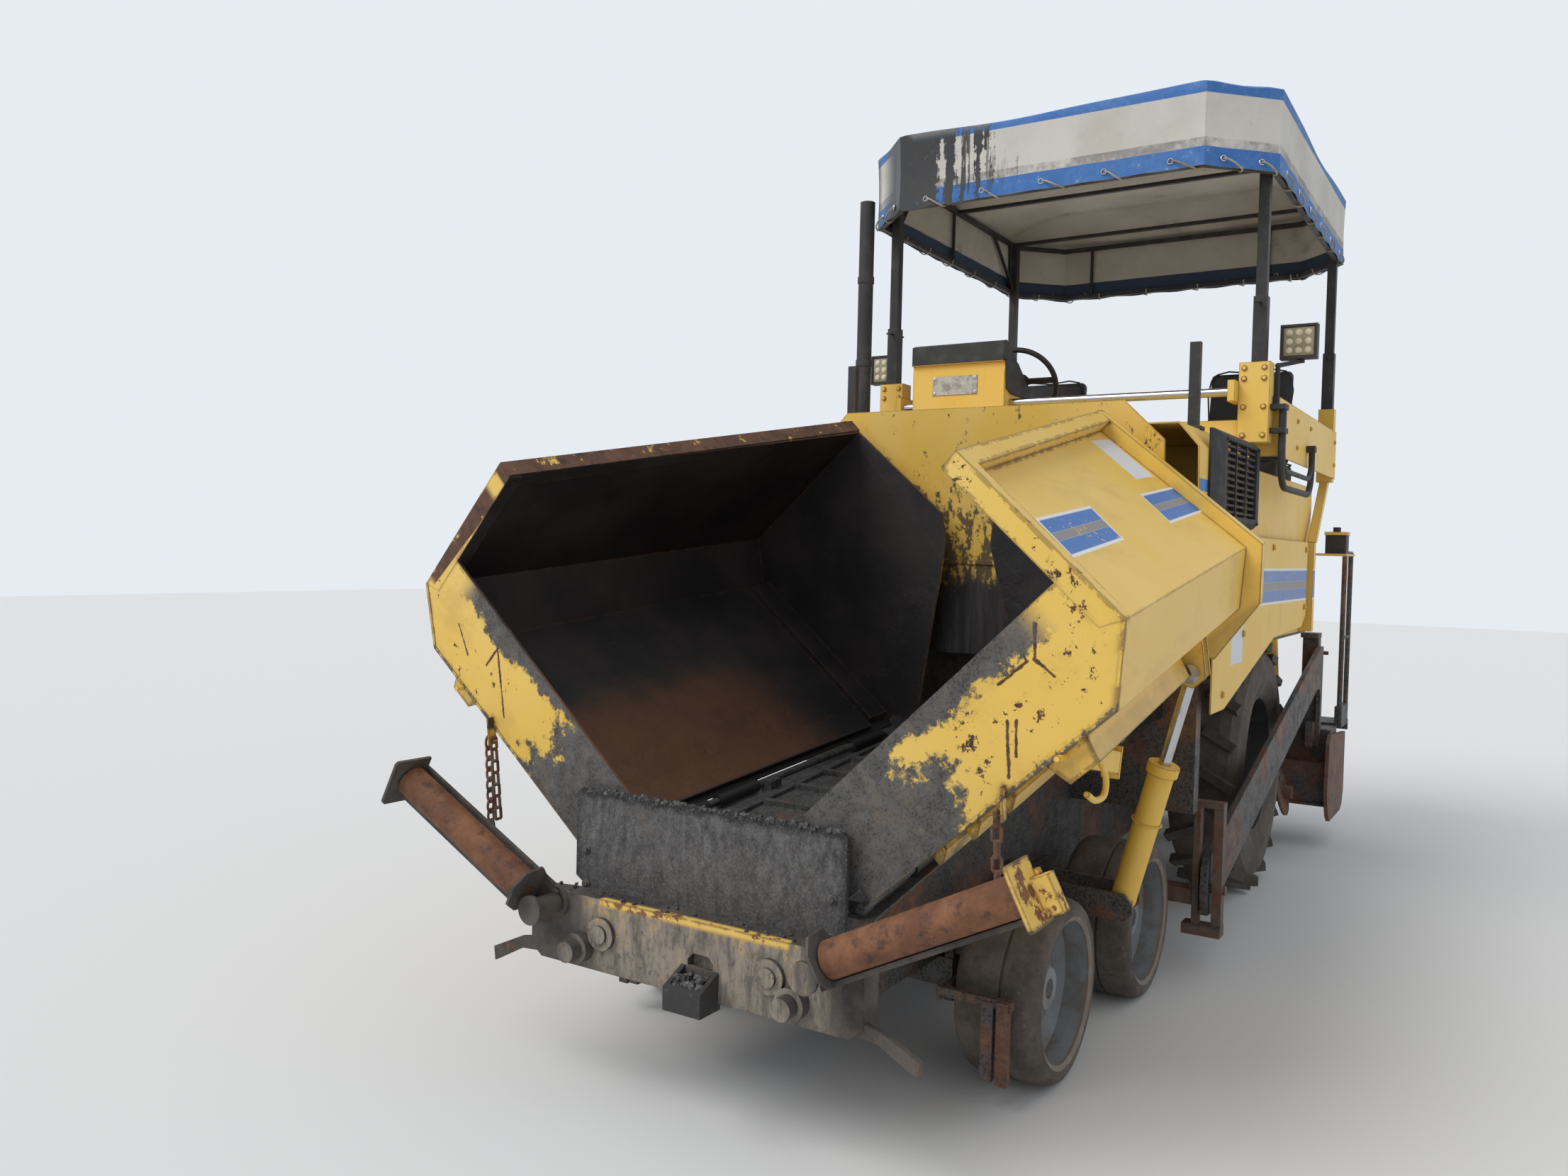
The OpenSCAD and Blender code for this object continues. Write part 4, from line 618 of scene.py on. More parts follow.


# coated canopy cloth: cream with blue bands outside, cream inside with its blue band painted dark navy as painted
# shade, tar over one front corner
def canopyPaint(name):
    f = Finish(name, 0.6)
    marks = canopyMarks
    rise = f.z - machine["canopyLow"]
    inside = f.facing(ahead(machine["canopyMiddle"], 0, machine["canopyLow"] + 0.05), 0.05)
    broad, fine = f.noise(2.3, 7, 0.65), f.noise(26, 6, 0.7)
    cream = f.mix(f.step(broad, 0.35, 0.7) * 0.7, (0.6, 0.575, 0.52), (0.45, 0.415, 0.36))
    cream = f.mix(f.spots(0.6, 0.72, 9, 8, 0.75) * 0.4, cream, (0.28, 0.24, 0.2))
    blue = f.mix(f.step(fine * 0.5 + broad * 0.5, 0.42, 0.62) * 0.5, (0.03, 0.135, 0.4), (0.1, 0.235, 0.46))
    blue = f.mix(f.step(fine, 0.62, 0.68) * 0.6, blue, (0.42, 0.45, 0.47))
    grey = f.mix(fine, (0.34, 0.32, 0.29), (0.2, 0.185, 0.17))
    soiled = f.between(rise, marks["blueLow"], marks["soiled"]) * f.step(fine * 0.4 + broad * 0.6, 0.36, 0.56)
    f.colour = f.mix(soiled, cream, grey)
    f.lay(f.between(rise, marks["hem"], marks["blueLow"], 0.001), blue)
    f.lay(f.step(rise, marks["blueTop"] - 0.001, marks["blueTop"] + 0.001), blue)
    f.lay(1 - f.step(rise, marks["hem"] - 0.001, marks["hem"] + 0.001), (0.035, 0.035, 0.04))
    # tar thrown over the front's right third, thinning into drips
    drips = f.noise(1, 4, 0.6, f.drawn(3, 22, 1.3))
    splash = f.noise(5.5, 8, 0.74)
    reach = ((marks["tarEnd"] - f.y) * 2.0 - f.step(rise, 0.1, 0.0) * 0.1) * 0.75
    reach = reach + (splash - 0.5) * 1.3 + (drips - 0.5) * 2.1 + (fine - 0.5) * 0.8
    front = f.step(f.x, -0.12, 0.02).most(f.step(f.x, -0.75, 0.0) * f.step(-f.y, 0.9, 0.94) * 0.9)
    tar = f.step(reach - 0.14, 0.0, 0.05) * front * f.step(-f.y, 0.05, 0.2)
    thin = f.noise(1, 5, 0.7, f.drawn(4, 48, 2.2))
    spread = f.step(-f.y, 0.02, 0.42)
    tar = tar.most(f.step(thin * 0.7 + splash * 0.35 + spread * 0.085, 0.605, 0.63) * front * spread)
    tar = tar * (1 - f.step(fine * 0.6 + thin * 0.4, 0.6, 0.64) * 0.75)
    f.lay(tar, f.mix(splash, (0.012, 0.012, 0.013), (0.04, 0.038, 0.036)))
    lining = f.mix(f.step(broad, 0.35, 0.65) * 0.6, (0.52, 0.49, 0.43), (0.36, 0.325, 0.27))
    lining = f.mix(f.spots(0.56, 0.72, 4, 8, 0.7) * 0.5, lining, (0.17, 0.13, 0.09))
    # the inside blue band darkened to navy: painted shade on the band's blue
    shadedNavy = f.mix(f.step(fine, 0.55, 0.7) * 0.4, (0.016, 0.034, 0.075), (0.06, 0.07, 0.09))
    f.lay(inside, f.mix(1 - f.step(rise, 0.104, 0.108), lining, shadedNavy))
    relief = f.noise(1, 4, 0.55, f.drawn(5, 5, 1.5)) * 0.9 + f.noise(420, 2, 0.5) * 0.06 + tar * 0.35
    return f.finish(0.58 - tar * 0.25 * (1 - inside) + fine * 0.1, relief, 0.01, 0.5)


finishes = {
    "yellow": enamel("yellowEnamel"),
    "caked": caked("cakedAsphalt"),
    "frameDark": caked("cakedFrame", 0.5, (0.05, 0.045, 0.04)),
    "greyRust": rusty("greyRust", 0.35, 0.8),
    "roller": rusty("rollerRust", 0.1),
    "tread": rubber("wornTread", 0.85),
    "hose": blackPaint("hoseRubber", 0.5),
    "rope": plainGrey("oldRope", (0.42, 0.38, 0.28)),
    "lamp": plainGrey("lampFace", (0.34, 0.31, 0.19)),
    "glass": plainGrey("lampGlass", (0.74, 0.68, 0.48)),
    "bright": brightRod("brightBolt"),
    "asphalt": caked("looseAsphalt", 0.0, (0.055, 0.052, 0.05), 0.62),
    "vinyl": blackPaint("seatVinyl", 0.5),
    "rubber": rubber("dustyRubber"),
    "greyRim": greyRim("greyRim"),
    "rod": brightRod("polishedRod"),
    "black": blackPaint("blackPaint"),
    "grille": blackPaint("grillePaint", 0.6),
    "wingLeft": wingPaint("wingPaintLeft", 1),
    "wingRight": wingPaint("wingPaintRight", -1),
    "apron": apronPaint("apronCrust"),
    "beam": beamPaint("beamCrust", [((2.545, -0.3, 0.574), (2.6, 0.34, 0.62))], (-0.36, 0.47)),
    "arms": beamPaint("armCrust", [((2.5, 0.98, 0.8), (2.9, 1.16, 1.02)), ((2.5, 0.6, 0.4), (2.7, 0.78, 0.58))]),
    "rearWall": rearWallPaint("rearWallPaint"),
    "body": bodyPaint("bodyPaint"),
    "console": consolePaint("consolePaint"),
    "canopy": canopyPaint("canopyCloth"),
}
print("finishes made")


# names of nodes that come in a left and a right one
def pair(*names):
    return [name + "_" + word for name in names for _, word in sides]


wears = {
    "frameDark": ["chassis", "front_axles", "rear_axle", "engine", "screed_body", "walkway", "auger", "tow_arms",
        *pair("knuckle_far", "knuckle_near")],
    "yellow": [*pair("wing_barrel"), "deck", "sign_panels", "post_brackets", "lift_barrels"],
    "black": [*pair("rear_rim"), "exhaust", "seats", "post_tubes", "steering_wheel", "lamps", "canopy_frame"],
    "rod": [*pair("wing_rod"), "console_rail", "lift_rods"], "roller": pair("push_roller"), "arms": pair("push_arm"),
    "rubber": pair("tyre_far", "tyre_near", "rear_tyre"), "greyRim": pair("rim_far", "rim_near"),
    "greyRust": [*pair("wing_chain"), "tow_points", "screed_sides"], "wingLeft": ["wing_left"],
    "wingRight": ["wing_right"], "rearWall": ["hopper_rear_wall"], "apron": ["front_apron"], "beam": ["push_beam"],
    "body": ["hood", "side_panels"], "console": ["console"], "hose": ["hoses"], "grille": ["grilles"],
    "caked": ["hopper_floor"],
}
for key, names in wears.items():
    for name in names:
        nodes[name].data.materials.clear()
        nodes[name].data.materials.append(finishes[key])
print("CAD nodes finished")


# leaves edit mode with nothing selected, because the CAD nodes come in selected
def clearSelection():
    if bpy.context.object and bpy.context.object.mode != "OBJECT":
        bpy.ops.object.mode_set(mode="OBJECT")
    bpy.ops.object.select_all(action="DESELECT")


def pick(*pieces):
    clearSelection()
    for piece in pieces:
        piece.select_set(True)
    bpy.context.view_layer.objects.active = pieces[0]


# gives a made piece its name, finish and body, with its place in its mesh
def settle(piece, name, finish, node, smooth=40):
    pick(piece)
    piece.data.transform(piece.matrix_world)
    piece.matrix_world = Matrix()
    piece.name = piece.data.name = name
    piece.data.materials.clear()
    piece.data.materials.append(finishes[finish])
    if smooth:
        bpy.ops.object.shade_smooth_by_angle(angle=math.radians(smooth))
    if node:
        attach(piece, bodyOf[node])
    return piece


def apply(piece, kind, **settings):
    pick(piece)
    modifier = piece.modifiers.new(kind.lower(), kind)
    for key, value in settings.items():
        setattr(modifier, key, value)
    bpy.ops.object.modifier_apply(modifier=modifier.name)
    return piece


def joined(pieces):
    pick(*pieces)
    if len(pieces) > 1:
        bpy.ops.object.join()
    return bpy.context.view_layer.objects.active


# a round bar or pipe along points, rounded at its bends
def pipe(points, radius, sides=4, closed=False, straight=False, fine=8):
    curve = bpy.data.curves.new("pipe", "CURVE")
    curve.dimensions, curve.bevel_depth, curve.bevel_resolution = "3D", radius, sides // 2
    curve.use_fill_caps, curve.resolution_u = not closed, 1 if straight else fine
    spline = curve.splines.new("POLY" if straight else "BEZIER")
    if straight:
        spline.points.add(len(points) - 1)
        for place, point in zip(spline.points, points):
            place.co = (*point, 1)
    else:
        spline.bezier_points.add(len(points) - 1)
        for place, point in zip(spline.bezier_points, points):
            place.co = point
            place.handle_left_type = place.handle_right_type = "AUTO"
    spline.use_cyclic_u = closed
    pick(linked("pipe", curve))
    bpy.ops.object.convert(target="MESH")
    return bpy.context.view_layer.objects.active


def rod(start, end, radius, sides=16, round=0.0):
    way = Vector(end) - Vector(start)
    clearSelection()
    bpy.ops.mesh.primitive_cylinder_add(vertices=sides, radius=radius, depth=way.length,
        location=(Vector(start) + Vector(end)) / 2, rotation=way.to_track_quat("Z", "Y").to_euler())
    made = bpy.context.object
    return apply(made, "BEVEL", width=round, segments=2, limit_method="ANGLE") if round else made


def slab(low, high, round=0.003, segments=2):
    low, high = Vector(low), Vector(high)
    clearSelection()
    bpy.ops.mesh.primitive_cube_add(size=1, location=(low + high) / 2, scale=high - low)
    made = bpy.context.object
    bpy.ops.object.transform_apply(location=False, rotation=False, scale=True)
    return apply(made, "BEVEL", width=round, segments=segments)


# a closed ring of round wire
def torus(radius, wire, around, sides=6, **place):
    clearSelection()
    bpy.ops.mesh.primitive_torus_add(major_radius=radius, minor_radius=wire, major_segments=around,
        minor_segments=sides, **place)
    return bpy.context.object


# stands what is built upwards from the origin at a place, along a way
def standing(place, way):
    return Matrix.Translation(place) @ way.to_track_quat("Z", "Y").to_matrix().to_4x4()


# copies of one model, each with its own mesh, set down at places and turned along ways
def spread(model, name, finish, node, places, slot=None, smooth=40):
    copies = []
    for item in places:
        copies.append(linked(name, model.data.copy()))
        size = Matrix.Diagonal(Vector(item[2])).to_4x4() if len(item) > 2 else Matrix()
        copies[-1].matrix_world = standing(item[0], Vector(item[1])) @ size @ model.matrix_world
    bpy.data.objects.remove(model)
    return settle(joined(copies), name, finish, node, smooth)


# hexagon head on a washer, standing on the origin
def boltModel(radius):
    head = rod((0, 0, 0), (0, 0, radius * 1.05), radius, 6, radius * 0.12)
    washer = rod((0, 0, 0), (0, 0, radius * 0.28), radius * 1.5, 14, radius * 0.06)
    return joined([head, washer])


def ring(points):
    return zip(points, points[1:] + points[:1])


# cuts all that is in edit mode along planes
def sliced(cuts):
    for place, normal in cuts:
        bpy.ops.mesh.select_all(action="SELECT")
        bpy.ops.mesh.bisect(plane_co=place, plane_no=normal)


# merges doubles, turns the faces outwards and leaves edit mode
def cleaned(distance):
    bpy.ops.mesh.select_all(action="SELECT")
    bpy.ops.mesh.remove_doubles(threshold=distance)
    bpy.ops.mesh.normals_make_consistent(inside=False)
    bpy.ops.object.mode_set(mode="OBJECT")


# a section drawn by extruding a point from place to place, spun round an axis
def spun(section, centre, axis, steps=64):
    clearSelection()
    bpy.ops.mesh.primitive_plane_add(size=0.001, location=section[0])
    made = bpy.context.object
    bpy.ops.object.mode_set(mode="EDIT")
    bpy.ops.mesh.select_all(action="SELECT")
    bpy.ops.mesh.merge(type="CENTER")
    for start, end in ring(section):
        bpy.ops.mesh.extrude_region_move(TRANSFORM_OT_translate={"value": end - start})
    bpy.ops.mesh.select_all(action="SELECT")
    bpy.ops.mesh.remove_doubles(threshold=0.0002)
    bpy.ops.mesh.spin(steps=steps, angle=math.tau, center=centre, axis=axis)
    cleaned(0.0002)
    return made


canopy = {
    "step": 0.045, "rows": 9, "roofRun": 0.46, "thick": 0.0022, "sag": 0.018, "wave": 0.007, "droop": 0.028,
    "droopWave": 5.1, "bowStart": 0.86, "bowStep": 0.815, "shrunk": 0.012, "belly": 0.006, "lift": 0.008,
    "tieStep": 0.24, "inset": 0.003, "eyeStep": 0.29, "eye": 0.011, "eyeWire": 0.0035, "eyeUp": 0.043,
    "rope": 0.0038, "flat": (3.02, 2.62), "cutArea": 7.0,
}


# corners of the canopy's outline, seen from above
def canopyCorners(inset=0.0):
    half, front, rear = machine["canopyHalf"] - inset, machine["canopyFront"] - inset, -machine["canopyRear"] + inset
    cut = machine["canopyCut"] - inset * 0.6
    return [(front, -half + cut), (front, half - cut), (front - cut, half), (rear + cut, half), (rear, half - cut),
        (rear, -half + cut), (rear + cut, -half), (front - cut, -half)]


# how far a point lies inside the outline, and its place along it
def canopyInset(x, y):
    corners, best, travelled = canopyCorners(), (9, 0), 0
    for (ax, ay), (bx, by) in ring(corners):
        length = math.hypot(bx - ax, by - ay)
        wayX, wayY = (bx - ax) / length, (by - ay) / length
        inside = (y - ay) * -wayX + (x - ax) * wayY
        along = (x - ax) * wayX + (y - ay) * wayY
        best = min(best, (abs(inside), travelled + along, along / length, length))
        travelled += length
    return best


def canopyShape(point):
    low, high = machine["canopyLow"], machine["canopyLow"] + machine["valance"]
    x, y = point.x + machine["midX"], point.y
    inset, place, part, length = canopyInset(x, y)
    arch = math.sin(math.pi * max(0, min(1, part))) ** 2 * min(1, length)
    droop = canopy["droop"] * arch * (0.7 + 0.3 * math.sin(place * canopy["droopWave"]))
    inward = (Vector((machine["canopyMiddle"], 0)) - Vector((x, y))).normalized()
    fold = math.sin(place * math.tau / canopy["tieStep"])
    share = (point.z - low) / (high - low)
    if inset < 0.001:
        dent = canopy["inset"] + canopy["wave"] * (1 - share) * (0.6 + 0.4 * fold)
        dent += canopy["belly"] * math.sin(math.pi * share)
        lift = (0.5 - 0.5 * fold) * canopy["lift"] * (1 - share) + 0.001 * (1 - share)
        lift -= (canopy["shrunk"] + droop * share) * share
        return Vector((point.x + inward.x * dent, y + inward.y * dent, point.z + lift))
    run = min(1, inset / canopy["roofRun"])
    between = math.sin((x + canopy["bowStart"]) / canopy["bowStep"] * math.pi) ** 2
    rise = machine["roofRise"] * math.sin(run * math.pi / 2) ** 0.75 - canopy["sag"] * between * min(1, run * 2)
    return Vector((point.x, y, high - canopy["shrunk"] + rise - droop * (1 - run) ** 2))


# one continuous sheet: a plane with cut corners, its edge drawn down, cut into a net and then shaped
def buildCanopy():
    front, rear, half, low = (machine["canopy" + key] for key in ("Front", "Rear", "Half", "Low"))
    clearSelection()
    bpy.ops.mesh.primitive_plane_add(size=1, location=ahead((front - rear) / 2, 0, low + machine["valance"]))
    sheet = bpy.context.object
    bpy.ops.object.mode_set(mode="EDIT")
    bpy.ops.transform.resize(value=(front + rear, half * 2, 1))
    bpy.ops.mesh.bevel(offset=machine["canopyCut"], offset_type="OFFSET", affect="VERTICES", segments=1)
    bpy.ops.mesh.select_all(action="SELECT")
    bpy.ops.mesh.extrude_region_move(TRANSFORM_OT_translate={"value": (0, 0, -machine["valance"])})
    bpy.ops.mesh.delete(type="ONLY_FACE")
    step, rows, drop = canopy["step"], canopy["rows"], machine["valance"]
    cuts = [(ahead(-rear + i * step, 0, 0), (1, 0, 0)) for i in range(1, int((front + rear) / step) + 1)]
    cuts += [((0, i * step, 0), (0, 1, 0)) for i in range(-21, 22)]
    cuts += [((0, 0, low + drop * i / rows), (0, 0, 1)) for i in range(1, rows)]
    sliced(cuts)
    cleaned(0.0015)
    place = sheet.matrix_world.copy()
    for vertex in sheet.data.vertices:
        vertex.co = place.inverted() @ canopyShape(place @ vertex.co)
    area = sum(face.area for face in sheet.data.polygons)
    apply(sheet, "SOLIDIFY", thickness=canopy["thick"], offset=-1)
    settle(sheet, "canopySheet", "canopy", "canopy_cloth", 35)
    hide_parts("canopy_cloth")
    print("canopy cloth square metres", round(area, 3))
    return sheet


# eyelets along the hem and the rope ties that hold them to the lower tube
def canopyTies():
    eyelet, rings, ropes, corners = torus(canopy["eye"], canopy["eyeWire"], 14), [], [], canopyCorners()
    shift = Vector((machine["midX"], 0, 0))
    for number, ((ax, ay), (bx, by)) in enumerate(ring(corners)):
        length = math.hypot(bx - ax, by - ay)
        wayX, wayY = (bx - ax) / length, (by - ay) / length
        way, out = Vector((wayX, wayY, 0)), Vector((wayY, -wayX, 0))
        count = max(2, round(length / canopy["eyeStep"]))
        for i in range(count):
            start = Vector((ax, ay, 0)) + way * length * (i + 0.5) / count - shift
            up = Vector((0, 0, machine["canopyLow"] + canopy["eyeUp"]))
            eye = start - out * (canopy["inset"] + canopy["eyeWire"]) + up
            rings.append((eye, out))
            run = way * random.uniform(0.07, 0.13) * (1 if number < 4 else -1)
            hem = start + Vector((0, 0, machine["canopyLow"] + 0.003))
            line = [eye - out * 0.004, eye + out * 0.004 + run * 0.12, hem + run * 0.9 + out * 0.001,
                hem + run - out * 0.03 + Vector((0, 0, 0.002)), hem + run - out * 0.044 + Vector((0, 0, 0.026))]
            ropes.append(pipe(line, canopy["rope"], 4, fine=4))
    hems = spread(eyelet, "canopyEyelets", "bright", "canopy_cloth", rings)
    return [hems, settle(joined(ropes), "canopyRopeTies", "rope", "canopy_cloth")]


canopySheet = buildCanopy()
canopyTies()
print("canopy sheet and ties made")


frontTyre = {
    "outerFace": 0.767, "radius": 0.28, "wearFrom": 0.265, "wear": 0.0016,
    "section": [
        (0.2282, 0.001), (0.238, 0.0005), (0.243, 0.003), (0.248, 0.001), (0.262, 0.006), (0.272, 0.017),
        (0.2775, 0.034), (0.2797, 0.056), (0.2798, 0.108), (0.269, 0.11), (0.269, 0.117), (0.2798, 0.119),
        (0.2798, 0.206), (0.2775, 0.228), (0.272, 0.245), (0.262, 0.256), (0.2282, 0.261)],
    "axles": {"near": 0.776, "far": 1.651},
}


# solid front tyres: rounded shoulders, a rim bead and one groove worn round the tread
def buildFrontTyres():
    for axle, x in frontTyre["axles"].items():
        for side, word in sides:
            centre = Vector((x, 0, frontTyre["radius"]))
            section = [centre + Vector((0, side * (frontTyre["outerFace"] - across), out))
                for out, across in frontTyre["section"]]
            tyre = spun(section, centre, (0, 1, 0), 72)
            name = "tyre_" + axle + "_" + word
            for vertex in tyre.data.vertices:
                point = tyre.matrix_world @ vertex.co
                out = Vector((point.x - x, 0, point.z - frontTyre["radius"]))
                if out.length > frontTyre["wearFrom"]:
                    vertex.co -= out.normalized() * random.uniform(0, frontTyre["wear"])
            settle(tyre, axle + word.capitalize() + "TyreTread", "tread", name)
            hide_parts(name)


buildFrontTyres()
print("front tyres made")

seat = {
    "base": ((-1.64, 0.334, 2.003), (-1.164, 0.786, 2.11)), "back": ((-1.628, 0.349, 2.1), (-1.545, 0.771, 2.606)),
    "lean": -8, "crown": 0.012, "flutes": 3, "piping": 0.0045, "cuts": 13,
    "gap": 0.004, "round": 0.022, "seamDown": 0.01, "seamIn": 0.007, "fill": 0.8,
}


# one crowned cushion with flutes and piping: a slab cut into a net, its faces swelled between the seams
def cushion(low, high, name, face, lean=0):
    low, high, gap = Vector(low), Vector(high), Vector((seat["gap"],) * 3)
    made = slab(low + gap, high - gap, seat["round"], segments=3)
    pick(made)
    bpy.ops.object.mode_set(mode="EDIT")
    middle = (low + high) / 2
    for axis in range(3):
        normal, count = [1 if i == axis else 0 for i in range(3)], seat["cuts"] if axis != face else 3
        sliced([(low.lerp(high, i / count), normal) for i in range(1, count)])
    bpy.ops.object.mode_set(mode="OBJECT")
    half, others = (high - low) / 2, [i for i in range(3) if i != face]
    for vertex in made.data.vertices:
        local = vertex.co + made.location - middle
        u, v = (local[i] / half[i] for i in others)
        flute = 0.55 + 0.45 * abs(math.sin((v + 1) / 2 * math.pi * seat["flutes"]))
        swell = max(0, 1 - abs(u) ** 3) * max(0, 1 - abs(v) ** 3) * flute
        front = local[face] > 0
        vertex.co[face] += (1 if front else -0.2) * swell * seat["crown"] - (seat["gap"] if front else 0)
    apply(made, "SUBSURF", levels=1, render_levels=1)
    seam = []
    for (au, av), (bu, bv) in ring([(-1, -1), (1, -1), (1, 1), (-1, 1)]):
        for share in (0.08, 0.5, 0.92):
            point = Vector((0, 0, 0))
            point[face] = high[face] - seat["seamDown"]
            for axis, value in zip(others, (au + (bu - au) * share, av + (bv - av) * share)):
                point[axis] = middle[axis] + value * (half[axis] - seat["seamIn"])
            seam.append(point)
    whole = joined([made, pipe(seam, seat["piping"], 4, closed=True, fine=3)])
    if lean:
        pivot = Matrix.Translation((low.x, 0, low.z))
        turn = Matrix.Rotation(math.radians(lean), 4, "Y")
        whole.matrix_world = pivot @ turn @ pivot.inverted() @ whole.matrix_world
    settle(whole, name, "vinyl", "seats", 60)
    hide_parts("seats")


for side, word in sides:
    for part, face, lean in (("base", 2, 0), ("back", 0, seat["lean"])):
        (lowX, lowY, lowZ), (highX, highY, highZ) = seat[part]
        lowY, highY = sorted((side * lowY, side * highY))
        cushion((lowX, lowY, lowZ), (highX, highY, highZ), word + "Seat" + part.capitalize(), face, lean)
print("seats made")

lamp = {
    "face": -0.3865, "y": (0.941, 1.064), "z": (2.484, 2.604), "plate": 0.003, "light": 0.0145, "flat": 0.4,
    "pitch": 0.038,
}


# face plates of the work lamps with nine round lights each
def buildLamps():
    for side, word in sides:
        lowY, highY = sorted((side * lamp["y"][0], side * lamp["y"][1]))
        face = slab((lamp["face"] - lamp["plate"], lowY, lamp["z"][0]), (lamp["face"], highY, lamp["z"][1]), 0.001)
        settle(face, word + "LampFace", "lamp", "lamps")
        clearSelection()
        bpy.ops.mesh.primitive_uv_sphere_add(segments=14, ring_count=8, radius=lamp["light"])
        light = bpy.context.object
        middleY, middleZ = (lowY + highY) / 2, (lamp["z"][0] + lamp["z"][1]) / 2
        steps = [(row * lamp["pitch"], column * lamp["pitch"]) for row in (-1, 0, 1) for column in (-1, 0, 1)]
        places = [((lamp["face"], middleY + aside, middleZ + over), (1, 0, 0), (1, 1, lamp["flat"]))
            for aside, over in steps]
        spread(light, word + "LampLights", "glass", "lamps", places)


buildLamps()

# bolt heads of each plate: radius, finish, node, whether they face to their own side or forwards, places
bolts = {
    "bracketBolts": (0.009, "yellow", "post_brackets", False,
        [(-0.207, side * y, z) for side in (1, -1) for y in (0.822, 0.903) for z in (2.13, 2.25, 2.37, 2.415)]),
    "consolePlateScrews": (0.0055, "bright", "console", False,
        [(-0.0885, y, z) for y in (-0.568, -0.362) for z in (2.362, 2.43)]),
    "grilleBolts": (0.006, "grille", "grilles", True,
        [(x, side * 0.8965, z) for side in (1, -1) for x in (-0.185, 0.395) for z in (1.752, 2.062)]),
    "skirtBolts": (0.011, "yellow", "side_panels", True,
        [(x, side * 0.9003, z) for side in (1, -1) for x, z in ((0.02, 1.3), (0.36, 1.08), (0.5, 1.66),
            (-0.55, 1.66), (-1.4, 1.66), (-1.4, 1.37), (-0.2, 1.66))]),
    "signBolts": (0.008, "yellow", "sign_panels", True,
        [(x, side * 0.9495, z) for side in (1, -1) for x in (-1.86, -1.1, -0.75) for z in (2.12, 2.24)]),
    "apronBolts": (0.01, "caked", "front_apron", False,
        [(2.4903, y, z) for y in (-0.42, 0.42) for z in (0.6, 0.7)]),
}
for name, (radius, finish, node, outwards, points) in bolts.items():
    ways = [(0, math.copysign(1, point[1]), 0) if outwards else (1, 0, 0) for point in points]
    spread(boltModel(radius), name, finish, node, list(zip(points, ways)))
print("lamps and bolts made")

wingRod = {
    "hook": [(3.498, 1.129), (3.285, 1.117), (3.152, 1.061), (3.123, 1.001), (3.188, 0.983), (3.275, 1.011)],
    "hookY": 1.0, "hookRadius": 0.0085,
    "bracket": ((3.27, 0.93, 1.105), (2.975, 0.99, 1.048)), "bracketWide": 0.06, "bracketThick": 0.006,
}


# the bent rod that hangs under each wing and the flat bracket beside it
def buildWingHooks():
    for side, word in sides:
        points = [ahead(x, side * wingRod["hookY"], z) for x, z in wingRod["hook"]]
        hook = pipe(points, wingRod["hookRadius"], 8, fine=6)
        settle(hook, word + "WingHook", "yellow", "wing_" + word)
        start, end = (ahead(x, side * y, z) for x, y, z in wingRod["bracket"])
        way = end - start
        half, thick = wingRod["bracketWide"] / 2, wingRod["bracketThick"] / 2
        plate = slab((-thick, -half, 0), (thick, half, way.length), 0.0015)
        tip = slab((-0.004, -0.045, way.length - 0.004), (0.05, 0.045, way.length + 0.004), 0.002)
        for part in (plate, tip):
            part.matrix_world = standing(start, way) @ part.matrix_world
        settle(joined([plate, tip]), word + "WingBracket", "yellow", "wing_" + word)


buildWingHooks()

cylinder = {
    "middle": (1.22, 0.846, 0.664), "way": (-0.0859, -0.2681, -0.9596), "pipeOut": 0.064, "pipeRadius": 0.0065,
    "pipeRun": (-0.262, 0.06), "nut": (0.0125, 0.03), "elbow": (0.013, 0.035, 0.052), "band": (0.0465, 0.0035),
    "bandRun": -0.08, "hoseRadius": 0.0095, "hoseStart": 0.028,
    "hose": [
        (-0.012, -0.005, -0.06), (-0.005, -0.035, -0.145), (0.015, -0.095, -0.195), (0.03, -0.16, -0.185),
        (0.032, -0.205, -0.145)],
}


# a barrel's middle, the way it runs down, and the way to its back
def barrel(side):
    middle, way = (Vector(cylinder[key]) * Vector((1, side, 1)) for key in ("middle", "way"))
    return middle, way, (Vector((-1, 0, 0)) - way * Vector((-1, 0, 0)).dot(way)).normalized()


# oil pipe down the back of each barrel, held by a band
def buildCylinderPipes():
    for side, word in sides:
        middle, way, back = barrel(side)
        start, end = (middle + way * run for run in cylinder["pipeRun"])
        foot = end + back * cylinder["pipeOut"]
        line = [start + back * 0.045, start + way * 0.012 + back * (cylinder["pipeOut"] - 0.004),
            start + way * 0.04 + back * cylinder["pipeOut"], foot]
        (nut, high), (elbow, near, far), turn = cylinder["nut"], cylinder["elbow"], way.to_track_quat("Z", "Y")
        parts = [pipe(line, cylinder["pipeRadius"], 6, fine=6), rod(foot, foot + way * high, nut, 6, 0.001),
            rod(start + back * near, start + back * far, elbow, 6, 0.001),
            torus(*cylinder["band"], 40, 8, location=middle + way * cylinder["bandRun"], rotation=turn.to_euler())]
        settle(joined(parts), word + "CylinderPipe", "yellow", "wing_barrel_" + word)


buildCylinderPipes()


# smooth line through points, close enough together to measure along
def smoothLine(points, steps=8):
    points = [points[0] * 2 - points[1], *points, points[-1] * 2 - points[-2]]
    line = []
    for a, b, c, d in zip(points, points[1:], points[2:], points[3:]):
        for i in range(steps):
            t = i / steps
            bend, twist = a * 2 - b * 5 + c * 4 - d, b * 3 - a - c * 3 + d
            line.append(((b * 2) + (c - a) * t + bend * t ** 2 + twist * t ** 3) / 2)
    return line + [points[-2]]
